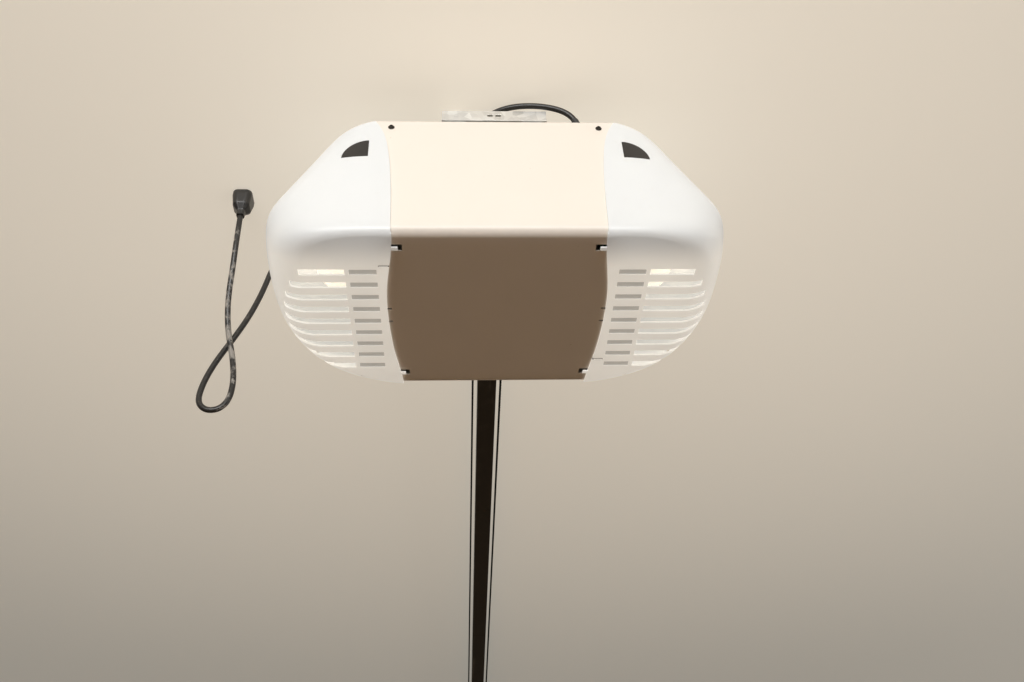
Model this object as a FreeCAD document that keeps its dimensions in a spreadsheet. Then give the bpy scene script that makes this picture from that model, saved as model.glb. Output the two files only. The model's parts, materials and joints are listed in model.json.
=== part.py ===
import FreeCAD, Part
import math
import os

import Sketcher

# Ceiling-mounted belt-drive garage door opener, in millimetres.
# Frame: the origin is on the ceiling, at the centre of the four hanger screws; +Z is up, +Y runs along the
# rail towards the door, and +X is to the right for someone who stands behind the opener and faces the door.

DIMENSIONS = [
    # the housing
    ("body_w", 300.0, "width of the steel cover"),
    ("body_l", 284.0, "length of the steel cover along the rail"),
    ("body_h", 200.0, "height from the bottom of the cover to the top of the chassis"),
    ("cover_t", 1.2, "cover sheet"),
    ("cover_bend", 12.0, "outside radius of the cover's two bends"),
    ("chassis_t", 2.0, "chassis sheet"),
    ("flange_h", 18.0, "depth of the chassis flanges"),
    ("skin_gap", 0.4, "gap between neighbouring skins"),
    ("screw_in", 19.0, "cover screws, in from the side of the cover"),
    ("screw_drop", 12.0, "cover screws, below the top"),
    ("screw_r", 4.2, "cover screw head"),
    # the light lenses
    ("lens_reach", 134.0, "furthest reach of a lens beyond the side of the cover"),
    ("lens_wall", 2.2, "lens wall"),
    ("hinge_in", 31.0, "lens hinge axis, in from the side of the cover"),
    ("hinge_inset", 27.0, "hinge tongues, from each end of the cover"),
    ("tongue_w", 4.5, "width of a hinge tongue"),
    ("vent_pitch", 21.7, "spacing of the lens vents"),
    ("vent_w", 9.5, "width of a lens vent"),
    ("latch_w", 33.0, "latch window, width"),
    ("latch_h", 31.0, "latch window, height"),
    ("latch_out", 7.0, "latch window's upright edge, beyond the side of the cover"),
    ("latch_z", 129.0, "latch window's sill above the cover's bottom"),
    # hanging
    ("hang_gap", 60.0, "ceiling to the top of the chassis"),
    ("ear_x", 50.0, "hanger ears and ceiling screws, from the centre plane"),
    ("ear_w", 25.0, "width of a hanger ear"),
    ("ear_h", 43.0, "height of an ear"),
    ("angle_t", 2.5, "hanger angle thickness"),
    ("angle_h", 20.0, "upright leg of the hanger angle"),
    ("angle_d", 32.0, "level leg of the hanger angle"),
    ("angle_l", 137.0, "length of a hanger angle"),
    ("angle_top", 46.0, "top of the hanger angle above the chassis"),
    ("angle_inset", 17.0, "hanger angle, from the end of the cover"),
    ("lag_y", 106.0, "ceiling screws, from the middle of the housing along Y"),
    ("lag_r", 4.5, "ceiling screw hole"),
    ("spacer_r", 8.0, "hanger spacer"),
    ("bolt_r", 3.0, "machine bolts"),
    ("bolt_fit", 0.3, "clearance of a bolt in its hole"),
    # rail, belt and trolley
    ("tube", 31.75, "outside of the square rail tube"),
    ("tube_t", 1.4, "wall of the rail tube"),
    ("rail_lift", 5.0, "rail above the chassis"),
    ("rail_start", 53.0, "near end of the rail along Y"),
    ("near_len", 762.0, "length of the near section of rail"),
    ("far_len", 822.0, "length of the far section of rail"),
    ("mid_len", 590.0, "length of the two middle sections of rail"),
    ("joint_len", 60.0, "sleeve inside each rail joint"),
    ("joint_gap", 0.4, "gap between butted rail sections"),
    ("drive_y", 8.0, "drive shaft along Y"),
    ("belt_w", 10.0, "belt width"),
    ("belt_t", 2.4, "belt back"),
    ("tooth_h", 3.0, "depth of the belt's teeth"),
    ("belt_r", 22.4, "inside radius of the belt round a pulley"),
    ("pulley_gap", 0.25, "pulley to belt"),
    ("pulley_w", 13.0, "pulley thickness"),
    ("shaft_r", 6.0, "drive shaft"),
    ("fit", 0.06, "running fit, on the radius"),
    ("idler_reach", 60.0, "idler beyond the end of the rail"),
    ("wall_reach", 131.0, "header wall beyond the idler"),
    ("trolley_l", 110.0, "trolley length"),
    ("trolley_back", 190.0, "trolley's centre, back from the idler, with the door closed"),
    ("slide_gap", 0.4, "trolley to rail"),
    ("side_t", 2.6, "trolley side wall"),
    ("keel_h", 24.0, "trolley block below the rail"),
    ("arm_w", 30.0, "width of the door arm"),
    ("arm_t", 3.0, "thickness of the door arm"),
    ("arm_upper", 250.0, "straight door arm, hole to end"),
    ("arm_lower", 240.0, "curved door arm"),
    # motor and gears
    ("gear_drop", 58.0, "gear and motor axis below the top of the chassis"),
    ("module", 1.5, "module of worm and gear"),
    ("worm_r", 7.5, "pitch radius of the worm"),
    ("gear_w", 12.0, "gear face"),
    ("stator_w", 92.0, "motor stator, across flats"),
    ("stator_l", 46.0, "motor stator, length"),
    ("rotor_r", 23.0, "motor rotor"),
    ("motor_y", -86.0, "middle of the motor along Y"),
    # lamp
    ("lamp_rise", 84.0, "lamp axis above the cover's bottom"),
    ("bulb_r", 30.0, "bulb"),
    ("bulb_l", 83.0, "bulb beyond its socket"),
    ("cap_r", 13.0, "lamp cap"),
    ("cap_l", 26.0, "lamp cap, length"),
    # power lead
    ("lead_r", 3.9, "power lead"),
    ("wire_r", 0.8, "antenna wire"),
]
GEAR_TEETH = 30
VENTS = 9
LENS_ROOT_IN = 29.0

doc = FreeCAD.newDocument("garage_door_opener")
sheet = doc.addObject("Spreadsheet::Sheet", "dims")
nodes = {}


class Size:
    """A length worked out from the sheet: its value, and the formula that keeps it bound."""

    def __init__(self, value, formula):
        self.value = value
        self.formula = formula

    def __add__(self, other):
        other = as_size(other)
        return Size(self.value + other.value, f"({self.formula} + {other.formula})")

    def __sub__(self, other):
        other = as_size(other)
        return Size(self.value - other.value, f"({self.formula} - {other.formula})")

    def __mul__(self, other):
        other = as_size(other)
        return Size(self.value * other.value, f"({self.formula} * {other.formula})")

    def __truediv__(self, other):
        other = as_size(other)
        return Size(self.value / other.value, f"({self.formula} / {other.formula})")

    def __neg__(self):
        return Size(-self.value, f"(0 - {self.formula})")

    def __radd__(self, other):
        return self + other

    def __rsub__(self, other):
        return as_size(other) - self

    def __rmul__(self, other):
        return self * other


def as_size(x):
    return x if isinstance(x, Size) else Size(float(x), f"({float(x):.6f})")


class Dims:
    """The sheet's cells, as sizes."""


def fill_sheet():
    for row, (alias, value, note) in enumerate(DIMENSIONS, 1):
        sheet.set(f"A{row}", note)
        sheet.set(f"B{row}", str(value))
        sheet.setAlias(f"B{row}", alias)
        setattr(Dims, alias, Size(value, f"dims.{alias}"))
    doc.recompute()


fill_sheet()
d = Dims


# ---------------------------------------------------------------- building blocks

TURNS = {
    "Z": FreeCAD.Rotation(),
    "-Z": FreeCAD.Rotation(FreeCAD.Vector(1, 0, 0), 180),
    "X": FreeCAD.Rotation(FreeCAD.Vector(0, 1, 0), 90),
    "-X": FreeCAD.Rotation(FreeCAD.Vector(0, 1, 0), -90),
    "Y": FreeCAD.Rotation(FreeCAD.Vector(1, 0, 0), -90),
    "-Y": FreeCAD.Rotation(FreeCAD.Vector(1, 0, 0), 90),
}


def numbers(point):
    return FreeCAD.Vector(*(as_size(c).value for c in point))


def bind(piece, prop, size):
    piece.setExpression(prop, as_size(size).formula)


def place(piece, at, turn="Z"):
    piece.Placement = FreeCAD.Placement(numbers(at), TURNS[turn])
    for axis, c in zip("xyz", at):
        bind(piece, f"Placement.Base.{axis}", c)
    return piece


def block(low, high):
    piece = doc.addObject("Part::Box", "block")
    for prop, a, b in zip(("Length", "Width", "Height"), low, high):
        bind(piece, prop, as_size(b) - a)
    return place(piece, low)


def rod(r, start, length, axis="Z"):
    piece = doc.addObject("Part::Cylinder", "rod")
    bind(piece, "Radius", r)
    bind(piece, "Height", length)
    return place(piece, start, axis)


def taper(r1, r2, start, length, axis="Z"):
    piece = doc.addObject("Part::Cone", "taper")
    bind(piece, "Radius1", r1)
    bind(piece, "Radius2", r2)
    bind(piece, "Height", length)
    return place(piece, start, axis)


def ball(r, centre):
    piece = doc.addObject("Part::Sphere", "ball")
    bind(piece, "Radius", r)
    return place(piece, centre)


def fuse(*pieces):
    piece = doc.addObject("Part::MultiFuse", "fuse")
    piece.Shapes = list(pieces)
    return piece


def cut(base, *tools):
    piece = doc.addObject("Part::Cut", "cut")
    piece.Base = base
    piece.Tool = tools[0] if len(tools) == 1 else group(*tools)
    return piece


def group(*pieces):
    piece = doc.addObject("Part::Compound", "group")
    piece.Links = list(pieces)
    return piece


def tube_along(r, bore, start, length, axis="Z"):
    return cut(rod(r, start, length, axis), rod(bore, start, length, axis))


def sketch_on(body, plane, points):
    """A closed outline of straight edges whose corners are bound to the sheet."""
    outline = body.newObject("Sketcher::SketchObject", "outline")
    origin_plane = [f for f in body.Origin.OriginFeatures if f.Role == f"{plane}_Plane"][0]
    outline.AttachmentSupport = [(origin_plane, "")]
    outline.MapMode = "FlatFace"
    corners = [tuple(as_size(c) for c in p) for p in points]
    for i, (x, y) in enumerate(corners):
        x2, y2 = corners[(i + 1) % len(corners)]
        a, b = FreeCAD.Vector(x.value, y.value, 0), FreeCAD.Vector(x2.value, y2.value, 0)
        outline.addGeometry(Part.LineSegment(a, b), False)
    for i in range(len(corners)):
        outline.addConstraint(Sketcher.Constraint("Coincident", i, 2, (i + 1) % len(corners), 1))
    for i, corner in enumerate(corners):
        for kind, c in zip(("DistanceX", "DistanceY"), corner):
            k = outline.addConstraint(Sketcher.Constraint(kind, -1, 1, i, 1, c.value))
            outline.setExpression(f"Constraints[{k}]", c.formula)
    return outline


def prism(plane, points, low, high):
    """An outline on a plane, padded from low to high along the axis square to it."""
    body = doc.addObject("PartDesign::Body", "body")
    pad = body.newObject("PartDesign::Pad", "pad")
    pad.Profile = sketch_on(body, plane, points)
    pad.Midplane = True
    bind(pad, "Length", as_size(high) - low)
    middle = (as_size(low) + high) / 2
    at = {"YZ": (middle, 0, 0), "XZ": (0, middle, 0), "XY": (0, 0, middle)}[plane]
    return place(body, at)


def turned(profile, at, axis="Z"):
    """An outline of radius and height, turned once about the axis."""
    body = doc.addObject("PartDesign::Body", "body")
    outline = sketch_on(body, "XZ", profile)
    turn = body.newObject("PartDesign::Revolution", "revolution")
    turn.Profile = outline
    turn.ReferenceAxis = (outline, ["V_Axis"])
    turn.Angle = 360.0
    return place(body, at, axis)


def soften(body, radius, chosen):
    """A fillet on the edges of a body whose midpoints, in the body's own frame, are chosen."""
    doc.recompute()
    names = []
    for i, edge in enumerate(body.Tip.Shape.Edges, 1):
        middle = edge.valueAt((edge.FirstParameter + edge.LastParameter) / 2)
        if chosen(middle, edge):
            names.append(f"Edge{i}")
    base = body.Tip
    fillet = body.newObject("PartDesign::Fillet", "fillet")
    fillet.Base = (base, names)
    bind(fillet, "Radius", radius)
    body.Tip = fillet
    return body


def shape_piece(shape):
    """A piece whose shape is worked out in code."""
    piece = doc.addObject("Part::Feature", "shape")
    piece.Shape = shape
    return piece


def node(name, piece):
    """Registers a finished sub-part under its own name."""
    piece.Label = name
    nodes[name] = piece
    return piece


# ---------------------------------------------------------------- shared places

half_w = d.body_w / 2
half_l = d.body_l / 2
screw_x = half_w - d.screw_in
hinge_x = half_w - d.hinge_in
latch_x = half_w + d.latch_out
lens_half = half_w + d.lens_reach
lens_root = half_w - LENS_ROOT_IN
top = -d.hang_gap
bottom = top - d.body_h
rail_low = top + d.rail_lift
rail_high = rail_low + d.tube
rail_mid = rail_low + d.tube / 2
gear_z = top - d.gear_drop
gear_r = d.module * GEAR_TEETH / 2
worm_x = -(gear_r + d.worm_r)
rail_end = d.rail_start + d.near_len + 2 * d.mid_len + d.far_len
idler_y = rail_end + d.idler_reach
wall_y = idler_y + d.wall_reach
trolley_y = idler_y - d.trolley_back
side_x = half_w - 2 * d.cover_t - d.skin_gap
lamp_z = bottom + d.lamp_rise


# ---------------------------------------------------------------- housing


def chassis():
    """The folded top tray that everything hangs from, with four upright ears."""
    x = half_w - d.skin_gap
    y = half_l - d.cover_t - d.skin_gap
    tray = cut(
        block((-x, -y, top - d.flange_h), (x, y, top)),
        block(
            (-x + d.chassis_t, -y + d.chassis_t, top - d.flange_h - 1),
            (x - d.chassis_t, y - d.chassis_t, top - d.chassis_t),
        ),
    )
    ears = []
    holes = [rod(d.shaft_r + 4, (0, d.drive_y, top - 5), 10)]
    for end in (-1, 1):
        face = half_l - d.angle_inset - d.angle_t
        for side in (-1, 1):
            low_x = d.ear_x * side - d.ear_w / 2
            near = face * end if end > 0 else -face + d.chassis_t
            low_corner = (low_x, near - d.chassis_t, top - d.chassis_t)
            ears.append(block(low_corner, (low_x + d.ear_w, near, top + d.ear_h)))
            bolt_start = (d.ear_x * side, near + 5, bolt_z())
            holes.append(rod(d.bolt_r + d.bolt_fit, bolt_start, 10 + d.chassis_t, "-Y"))
    for sx in (-1, 1):
        for sy in (-1, 1):
            screw_start = (screw_x * sx, y * sy - 5 * sy, top - d.screw_drop)
            holes.append(rod(2.0, screw_start, 10, "Y" if sy > 0 else "-Y"))
    holes.append(rod(LEAD_GLAND_R, (LEAD_X, lead_exit_y(), top - 5), 10))
    return node("chassis", cut(fuse(tray, *ears), *holes))


def bolt_z():
    return top + d.angle_top - d.angle_h / 2


def lead_exit_y():
    return -half_l + LEAD_INSET


def cover():
    """One folded sheet: rear panel, bottom and door-side panel."""
    profile = [
        (-half_l, top),
        (-half_l, bottom),
        (half_l, bottom),
        (half_l, top),
        (half_l - d.cover_t, top),
        (half_l - d.cover_t, bottom + d.cover_t),
        (-half_l + d.cover_t, bottom + d.cover_t),
        (-half_l + d.cover_t, top),
    ]
    skin = prism("YZ", profile, -half_w, half_w)
    low = bottom.value
    soften(skin, d.cover_bend, lambda m, e: abs(m.z - low) < 0.1 and abs(abs(m.y) - half_l.value) < 0.1)
    wall = d.cover_t.value
    inner = half_l.value - wall
    soften(
        skin,
        d.cover_bend - d.cover_t,
        lambda m, e: abs(m.z - low - wall) < 0.1 and abs(abs(m.y) - inner) < 0.1,
    )
    cuts = []
    for sx in (-1, 1):
        for sy in (-1, 1):
            screw = (screw_x * sx, half_l * sy - 3 * sy, top - d.screw_drop)
            cuts.append(rod(2.4, screw, 6, "Y" if sy > 0 else "-Y"))
            slot_y = (half_l - d.hinge_inset) * sy
            cuts.append(
                block(
                    (hinge_x * sx - SLOT_W / 2 - SLOT_SHIFT * sx, slot_y - SLOT_L / 2, bottom - 1),
                    (hinge_x * sx + SLOT_W / 2 - SLOT_SHIFT * sx, slot_y + SLOT_L / 2, bottom + 3),
                )
            )
        for y in SMALL_SLOTS:
            low_x = (half_w - SMALL_SLOT_IN) * sx
            cuts.append(block((low_x - 3, y, bottom - 1), (low_x + 3, y + 3, bottom + 3)))
    return node("cover", cut(skin, *cuts))


SLOT_W, SLOT_L, SLOT_SHIFT = 14.0, 10.0, -1.0
SMALL_SLOTS = (-11.0, 12.0)
SMALL_SLOT_IN = 17.0
LEAD_X, LEAD_INSET, LEAD_GLAND_R = 112.0, 22.0, 6.5


def cover_screws():
    screws = []
    for sx in (-1, 1):
        for sy in (-1, 1):
            head = (screw_x * sx, half_l * sy, top - d.screw_drop)
            axis = "Y" if sy > 0 else "-Y"
            profile = [(0, 0), (d.screw_r, 0), (d.screw_r, 1.2), (d.screw_r * 0.62, 2.6), (0, 2.9)]
            dome = turned(profile, head, axis)
            slot = block(
                (screw_x * sx - d.screw_r * 0.8, head[1] + 1.7 * sy - 2 * (sy < 0), head[2] - 0.5),
                (screw_x * sx + d.screw_r * 0.8, head[1] + 1.7 * sy + 2 * (sy > 0), head[2] + 0.5),
            )
            shank = rod(1.9, (head[0], head[1] - 6 * sy, head[2]), 6, axis)
            screws.append(cut(fuse(dome, shank), slot))
    return node("cover_screws", group(*screws))


def side_panel(s):
    """The sheet that closes the end of the chassis behind a lens and carries the lamp socket."""
    y = half_l - d.cover_t - d.skin_gap - d.chassis_t - d.skin_gap
    x0 = (side_x - d.cover_t) * s
    x1 = side_x * s
    low, high = (x0, x1) if s > 0 else (x1, x0)
    floor, roof, bevel = bottom + 2 * d.cover_t, top - d.chassis_t - d.skin_gap, d.cover_bend / 2
    near_side = [(-y, roof), (-y, floor + bevel), (-y + bevel, floor)]
    far_side = [(y - bevel, floor), (y, floor + bevel), (y, roof)]
    outline = near_side + far_side
    plate = prism("YZ", outline, low, high)
    cuts = [rod(SOCKET_R + 0.3, (x0 - 5 * s, 0, lamp_z), 12, "X" if s > 0 else "-X")]
    for i in range(6):
        z = top - d.flange_h - 14 - 7 * i
        for y0 in (-105, 65):
            cuts.append(block((low - 1, y0, z), (high + 1, y0 + 40, z + 3)))
    return cut(plate, *cuts)


SOCKET_R = 19.0


def lamp(s):
    """Socket, lamp cap and bulb, lying along X."""
    axis = "X" if s > 0 else "-X"
    mouth = side_x * s
    socket = cut(
        fuse(
            rod(SOCKET_R, (mouth - (d.cap_l + 6) * s, 0, lamp_z), d.cap_l + 6, axis),
            rod(SOCKET_R + 6, (mouth, 0, lamp_z), 2.5, axis),
        ),
        rod(d.cap_r + 0.5, (mouth - d.cap_l * s, 0, lamp_z), d.cap_l + 6, axis),
    )
    cap_at = (mouth - (d.cap_l - 0.5) * s, 0, lamp_z)
    cap = [(0, 0), (4, 0), (d.cap_r - 2, 4), (d.cap_r, 5.5), (d.cap_r, d.cap_l), (0, d.cap_l)]
    neck = [
        (0, 0),
        (d.cap_r - 0.4, 0),
        (d.cap_r + 0.5, 14),
        (d.bulb_r * 0.62, 26),
        (d.bulb_r * 0.86, 36),
        (d.bulb_r * 0.97, 45),
        (d.bulb_r, d.bulb_l - d.bulb_r),
        (0, d.bulb_l - d.bulb_r),
    ]
    start = mouth + 0.5 * s
    crown = ball(d.bulb_r, (start + (d.bulb_l - d.bulb_r) * s, 0, lamp_z))
    return socket, turned(cap, cap_at, axis), fuse(turned(neck, (start, 0, lamp_z), axis), crown)


def ends():
    """Side panels and lamps, one of each on either side."""
    node("side_panels", group(*[side_panel(s) for s in (-1, 1)]))
    for name, pair in zip(("lamp_sockets", "lamp_caps", "bulbs"), zip(lamp(-1), lamp(1))):
        node(name, group(*pair))


# ---------------------------------------------------------------- lenses

# Plan of a lens: share of its reach, share of its length.
LENS_PLAN = [
    (0.0, 0.0),
    (0.30, 0.002),
    (0.58, 0.018),
    (0.80, 0.058),
    (0.93, 0.128),
    (0.985, 0.235),
    (1.0, 0.40),
    (0.985, 0.56),
    (0.92, 0.70),
    (0.79, 0.82),
    (0.60, 0.905),
    (0.36, 0.96),
    (0.16, 0.988),
    (0.0, 1.0),
]
# Rise of a lens: share of its height, share of its greatest reach, inset of its two ends.
LENS_RISE = [
    (0.0, 0.715, 9.5),
    (0.010, 0.772, 5.6),
    (0.030, 0.830, 2.4),
    (0.062, 0.882, 0.6),
    (0.110, 0.930, 0.0),
    (0.180, 0.968, 0.0),
    (0.270, 0.995, 0.0),
    (0.350, 1.0, 0.0),
    (0.450, 0.948, 0.0),
    (0.570, 0.862, 0.0),
    (0.715, 0.756, 0.0),
    (0.840, 0.664, 0.0),
    (0.920, 0.600, 0.0),
    (0.962, 0.552, 0.0),
    (0.988, 0.496, 0.0),
    (1.0, 0.430, 0.0),
]
# Inner border of a lens on the rear and door-side panels: height share, distance in from the cover's side.
LENS_BORDER_UP = [
    (-0.02, 25.0), (0.25, 23.5), (0.5, 21.0), (0.72, 16.5), (0.88, 9.5), (0.96, 2.5), (1.02, -5.0),
]
# The same on the bottom: length share, distance in from the cover's side.
LENS_BORDER_ALONG = [
    (-0.02, 25.5),
    (0.10, 24.2),
    (0.34, 15.7),
    (0.5, 14.7),
    (0.64, 16.4),
    (0.77, 20.0),
    (0.88, 24.8),
    (1.02, 28.5),
]


def spline(points):
    curve = Part.BSplineCurve()
    curve.interpolate(points)
    return curve.toShape()


def lens_solid(inset):
    """The lens as a full solid, drawn in by inset on every outer side; x runs away from the centre plane."""
    skin = d.lens_wall.value + d.skin_gap.value
    y0 = -half_l.value - skin + inset
    length = d.body_l.value + 2 * (skin - inset)
    z0 = bottom.value - skin + inset
    height = d.body_h.value + skin - 2 * inset
    root = lens_root.value - (20.0 if inset else 0.0)
    sections = []
    for up, reach_share, end in LENS_RISE:
        reach = (lens_half - lens_root).value * reach_share - inset
        z = z0 + height * up
        rim = [
            FreeCAD.Vector(lens_root.value + reach * f, y0 + end + (length - 2 * end) * s, z)
            for f, s in LENS_PLAN
        ]
        back = [FreeCAD.Vector(root, rim[-1].y, z), FreeCAD.Vector(root, rim[0].y, z)]
        edges = [spline(rim)]
        if inset:
            edges.append(Part.makeLine(rim[-1], back[0]))
            edges.append(Part.makeLine(back[0], back[1]))
            edges.append(Part.makeLine(back[1], rim[0]))
        else:
            edges.append(Part.makeLine(rim[-1], rim[0]))
        sections.append(Part.Wire(edges))
    return Part.makeLoft(sections, True, False)


def slab(outline, push):
    """A closed outline of edges, pushed along a vector."""
    return Part.Face(Part.Wire(outline)).extrude(push)


BORDER_DEPTH = 4.0


def border_cutters():
    """What is cut away inside a lens's inner border, on its bottom and on its two ends."""
    inner = lens_root.value - 40
    low, high = bottom.value, top.value
    ends = -half_l.value, half_l.value
    side = half_w.value
    along = [FreeCAD.Vector(side - x, ends[0] + d.body_l.value * s, low - 6) for s, x in LENS_BORDER_ALONG]
    floor = slab(
        [
            spline(along),
            Part.makeLine(along[-1], FreeCAD.Vector(inner, along[-1].y, low - 6)),
            Part.makeLine(
                FreeCAD.Vector(inner, along[-1].y, low - 6), FreeCAD.Vector(inner, along[0].y, low - 6)
            ),
            Part.makeLine(FreeCAD.Vector(inner, along[0].y, low - 6), along[0]),
        ],
        FreeCAD.Vector(0, 0, 6 + BORDER_DEPTH),
    )
    cutters = [floor]
    for y, push in ((ends[0] - 8, 8 + BORDER_DEPTH), (ends[1] + 8, -8 - BORDER_DEPTH)):
        up = [FreeCAD.Vector(side - x, y, low + d.body_h.value * s) for s, x in LENS_BORDER_UP]
        far_low, far_high = FreeCAD.Vector(inner, y, up[0].z), FreeCAD.Vector(inner, y, up[-1].z)
        cutters.append(
            slab(
                [
                    spline(up),
                    Part.makeLine(up[-1], far_high),
                    Part.makeLine(far_high, far_low),
                    Part.makeLine(far_low, up[0]),
                ],
                FreeCAD.Vector(0, push, 0),
            )
        )
    gap = d.skin_gap.value
    cover_room = Part.makeBox(
        half_w.value + gap - inner,
        d.body_l.value + 2 * gap,
        high - low + 10,
        FreeCAD.Vector(inner, ends[0] - gap, low - gap),
    )
    bends = [e for e in cover_room.Edges if e.BoundBox.XLength > 1 and e.BoundBox.ZMax < low]
    cutters.append(cover_room.makeFillet(d.cover_bend.value + gap, bends))
    return cutters


def vent_boxes():
    """Open vents, and the shallow blind ones beside them."""
    boxes = []
    low = bottom.value - d.lens_wall.value - d.skin_gap.value - 4
    root = half_w.value + VENT_OUT
    centre = VENT_MIDDLE * d.body_l.value - half_l.value
    spread = (VENTS - 1) / 2 * d.vent_pitch.value * VENT_ELLIPSE
    width = d.vent_w.value
    for i in range(VENTS):
        y = centre + (i - (VENTS - 1) / 2) * d.vent_pitch.value
        share = math.sqrt(1 - ((y - centre) / spread) ** 2)
        reach = (lens_half.value - root) * VENT_REACH * share
        boxes.append(Part.makeBox(reach, width, 30, FreeCAD.Vector(root, y - width / 2, low)))
        blind = FreeCAD.Vector(root - BLIND_WEB - BLIND_L, y - width / 2 + 0.5, low)
        boxes.append(Part.makeBox(BLIND_L, width - 1, 4 + BLIND_DEPTH, blind))
    return boxes


VENT_OUT, VENT_MIDDLE, VENT_ELLIPSE, VENT_REACH = 32.5, 0.535, 1.34, 0.80
BLIND_L, BLIND_WEB, BLIND_DEPTH = 33.0, 5.0, 1.1


def latch_outline(y, shrink):
    """A quarter ellipse on an upright plane, its square corner towards the centre plane."""
    x = latch_x.value + shrink
    z = bottom.value + d.latch_z.value + shrink
    w, h = d.latch_w.value - 2 * shrink, d.latch_h.value - 2 * shrink
    corner = FreeCAD.Vector(x, y, z)
    steps = [t * math.pi / 16 for t in range(9)]
    points = [FreeCAD.Vector(x + w * math.cos(a), y, z + h * math.sin(a)) for a in steps]
    return [spline(points), Part.makeLine(points[-1], corner), Part.makeLine(corner, points[0])]


def border_slit(side, end):
    """A short slit at one corner of a lens's bottom border."""
    y = BORDER_SLIT_Y * end
    x = half_w.value - BORDER_SLIT_IN
    low = bottom.value - d.skin_gap.value - d.lens_wall.value - 1
    start = x if side > 0 else -x - BORDER_SLIT_L
    return Part.makeBox(BORDER_SLIT_L, BORDER_SLIT_W, 5, FreeCAD.Vector(start, y, low))


BORDER_SLIT_IN, BORDER_SLIT_L, BORDER_SLIT_W, BORDER_SLIT_Y = 19.5, 11.0, 1.4, 87.0


def lens_shape():
    """The right-hand lens."""
    shell = lens_solid(0.0).cut(lens_solid(d.lens_wall.value))
    shell = shell.cut(border_cutters())
    shell = shell.cut(vent_boxes())
    ends = (-half_l.value, half_l.value)
    shell = shell.cut(slab(latch_outline(ends[0] - 12, 0.0), FreeCAD.Vector(0, 40, 0)))
    shell = shell.cut(slab(latch_outline(ends[1] + 12, 0.0), FreeCAD.Vector(0, -60, 0)))
    wall = d.lens_wall.value
    z = bottom.value - d.skin_gap.value - wall / 2
    for sy in (-1, 1):
        y = (half_l.value - d.hinge_inset.value) * sy
        w = d.tongue_w.value
        tongue = Part.makeBox(16, w, wall, FreeCAD.Vector(hinge_x.value, y - w / 2, z - wall / 2))
        knuckle_end = FreeCAD.Vector(hinge_x.value, y - w / 2, z)
        knuckle = Part.makeCylinder(wall / 2, w, knuckle_end, FreeCAD.Vector(0, 1, 0))
        shell = shell.fuse([tongue, knuckle])
    return shell.removeSplitter()


def lenses():
    """Both lenses are one moulding turned half round, so their border slits lie at opposite ends."""
    right = lens_shape()
    left = right.mirror(FreeCAD.Vector(0, 0, 0), FreeCAD.Vector(1, 0, 0))
    node("right_lens", shape_piece(right.cut(border_slit(1, 1))))
    node("left_lens", shape_piece(left.cut(border_slit(-1, -1))))


LATCH_GAP = 0.35
REAR_LATCH, DOOR_LATCH = (-1.6, 9.0), (-24.0, 0.6)


def latches():
    """The four push latches in the lens windows, their faces trimmed to the outside of the lens."""
    outside = lens_solid(0.0)
    for end, (near, far) in (("rear", REAR_LATCH), ("door", DOOR_LATCH)):
        sy = -1 if end == "rear" else 1
        start = half_l.value * sy + near
        right = slab(latch_outline(start, LATCH_GAP), FreeCAD.Vector(0, far - near, 0)).common(outside)
        left = right.mirror(FreeCAD.Vector(0, 0, 0), FreeCAD.Vector(1, 0, 0))
        node(f"right_{end}_latch", shape_piece(right))
        node(f"left_{end}_latch", shape_piece(left))


# ---------------------------------------------------------------- hangers


def hangers():
    """An angle across each pair of ears, on four spacers under the ceiling."""
    face = half_l - d.angle_inset
    high = top + d.angle_top
    profile = [
        (face, high - d.angle_h),
        (face, high),
        (face - d.angle_d, high),
        (face - d.angle_d, high - d.angle_t),
        (face - d.angle_t, high - d.angle_t),
        (face - d.angle_t, high - d.angle_h),
    ]
    spacers, bolts = [], []
    for name, sy in (("rear_hanger_angle", -1), ("front_hanger_angle", 1)):
        angle = prism("YZ", [(y * sy, z) for y, z in profile], -d.angle_l / 2, d.angle_l / 2)
        out, back = ("Y", "-Y") if sy > 0 else ("-Y", "Y")
        cuts = []
        for sx in (-1, 1):
            x = d.ear_x * sx
            cuts.append(rod(d.bolt_r, (x, (face + 5) * sy, bolt_z()), 10, back))
            cuts.append(rod(d.lag_r, (x, d.lag_y * sy, high - 5), 10))
            spacers.append(tube_along(d.spacer_r, d.lag_r, (x, d.lag_y * sy, high), -high))
            inner = (face - d.angle_t - d.chassis_t) * sy
            shank = rod(d.bolt_r, (x, inner, bolt_z()), d.angle_t + d.chassis_t, out)
            bolts.append(fuse(hexagon((x, inner, bolt_z()), 3.4, back), shank))
            if sy < 0:
                mid = SIGHT_HOLE_X * sx
                low = (mid - SIGHT_HOLE_W / 2, -face - 1, bolt_z() - SIGHT_HOLE_H / 2)
                far = (mid + SIGHT_HOLE_W / 2, -face + 4, bolt_z() + SIGHT_HOLE_H / 2)
                cuts.append(block(low, far))
        if sy > 0:
            notch_low = (-RAIL_NOTCH, face - d.angle_t - 1, high - d.angle_h - 1)
            cuts.append(block(notch_low, (RAIL_NOTCH, face + 1, high - d.angle_t)))
        node(name, cut(angle, *cuts))
    node("hanger_spacers", group(*spacers))
    node("hanger_fasteners", group(*bolts))


RAIL_NOTCH = 31.0
SIGHT_HOLE_X, SIGHT_HOLE_W, SIGHT_HOLE_H = 5.3, 7.2, 4.0


def hexagon(at, height, axis, r=5.2):
    piece = doc.addObject("Part::Prism", "hexagon")
    piece.Polygon = 6
    bind(piece, "Circumradius", r)
    bind(piece, "Height", height)
    return place(piece, at, axis)


def ring_nut(at, axis):
    return cut(hexagon(at, 4.2, axis), rod(d.bolt_r + 0.02, at, 4.2, axis))


# ---------------------------------------------------------------- rail, belt and pulleys


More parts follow.
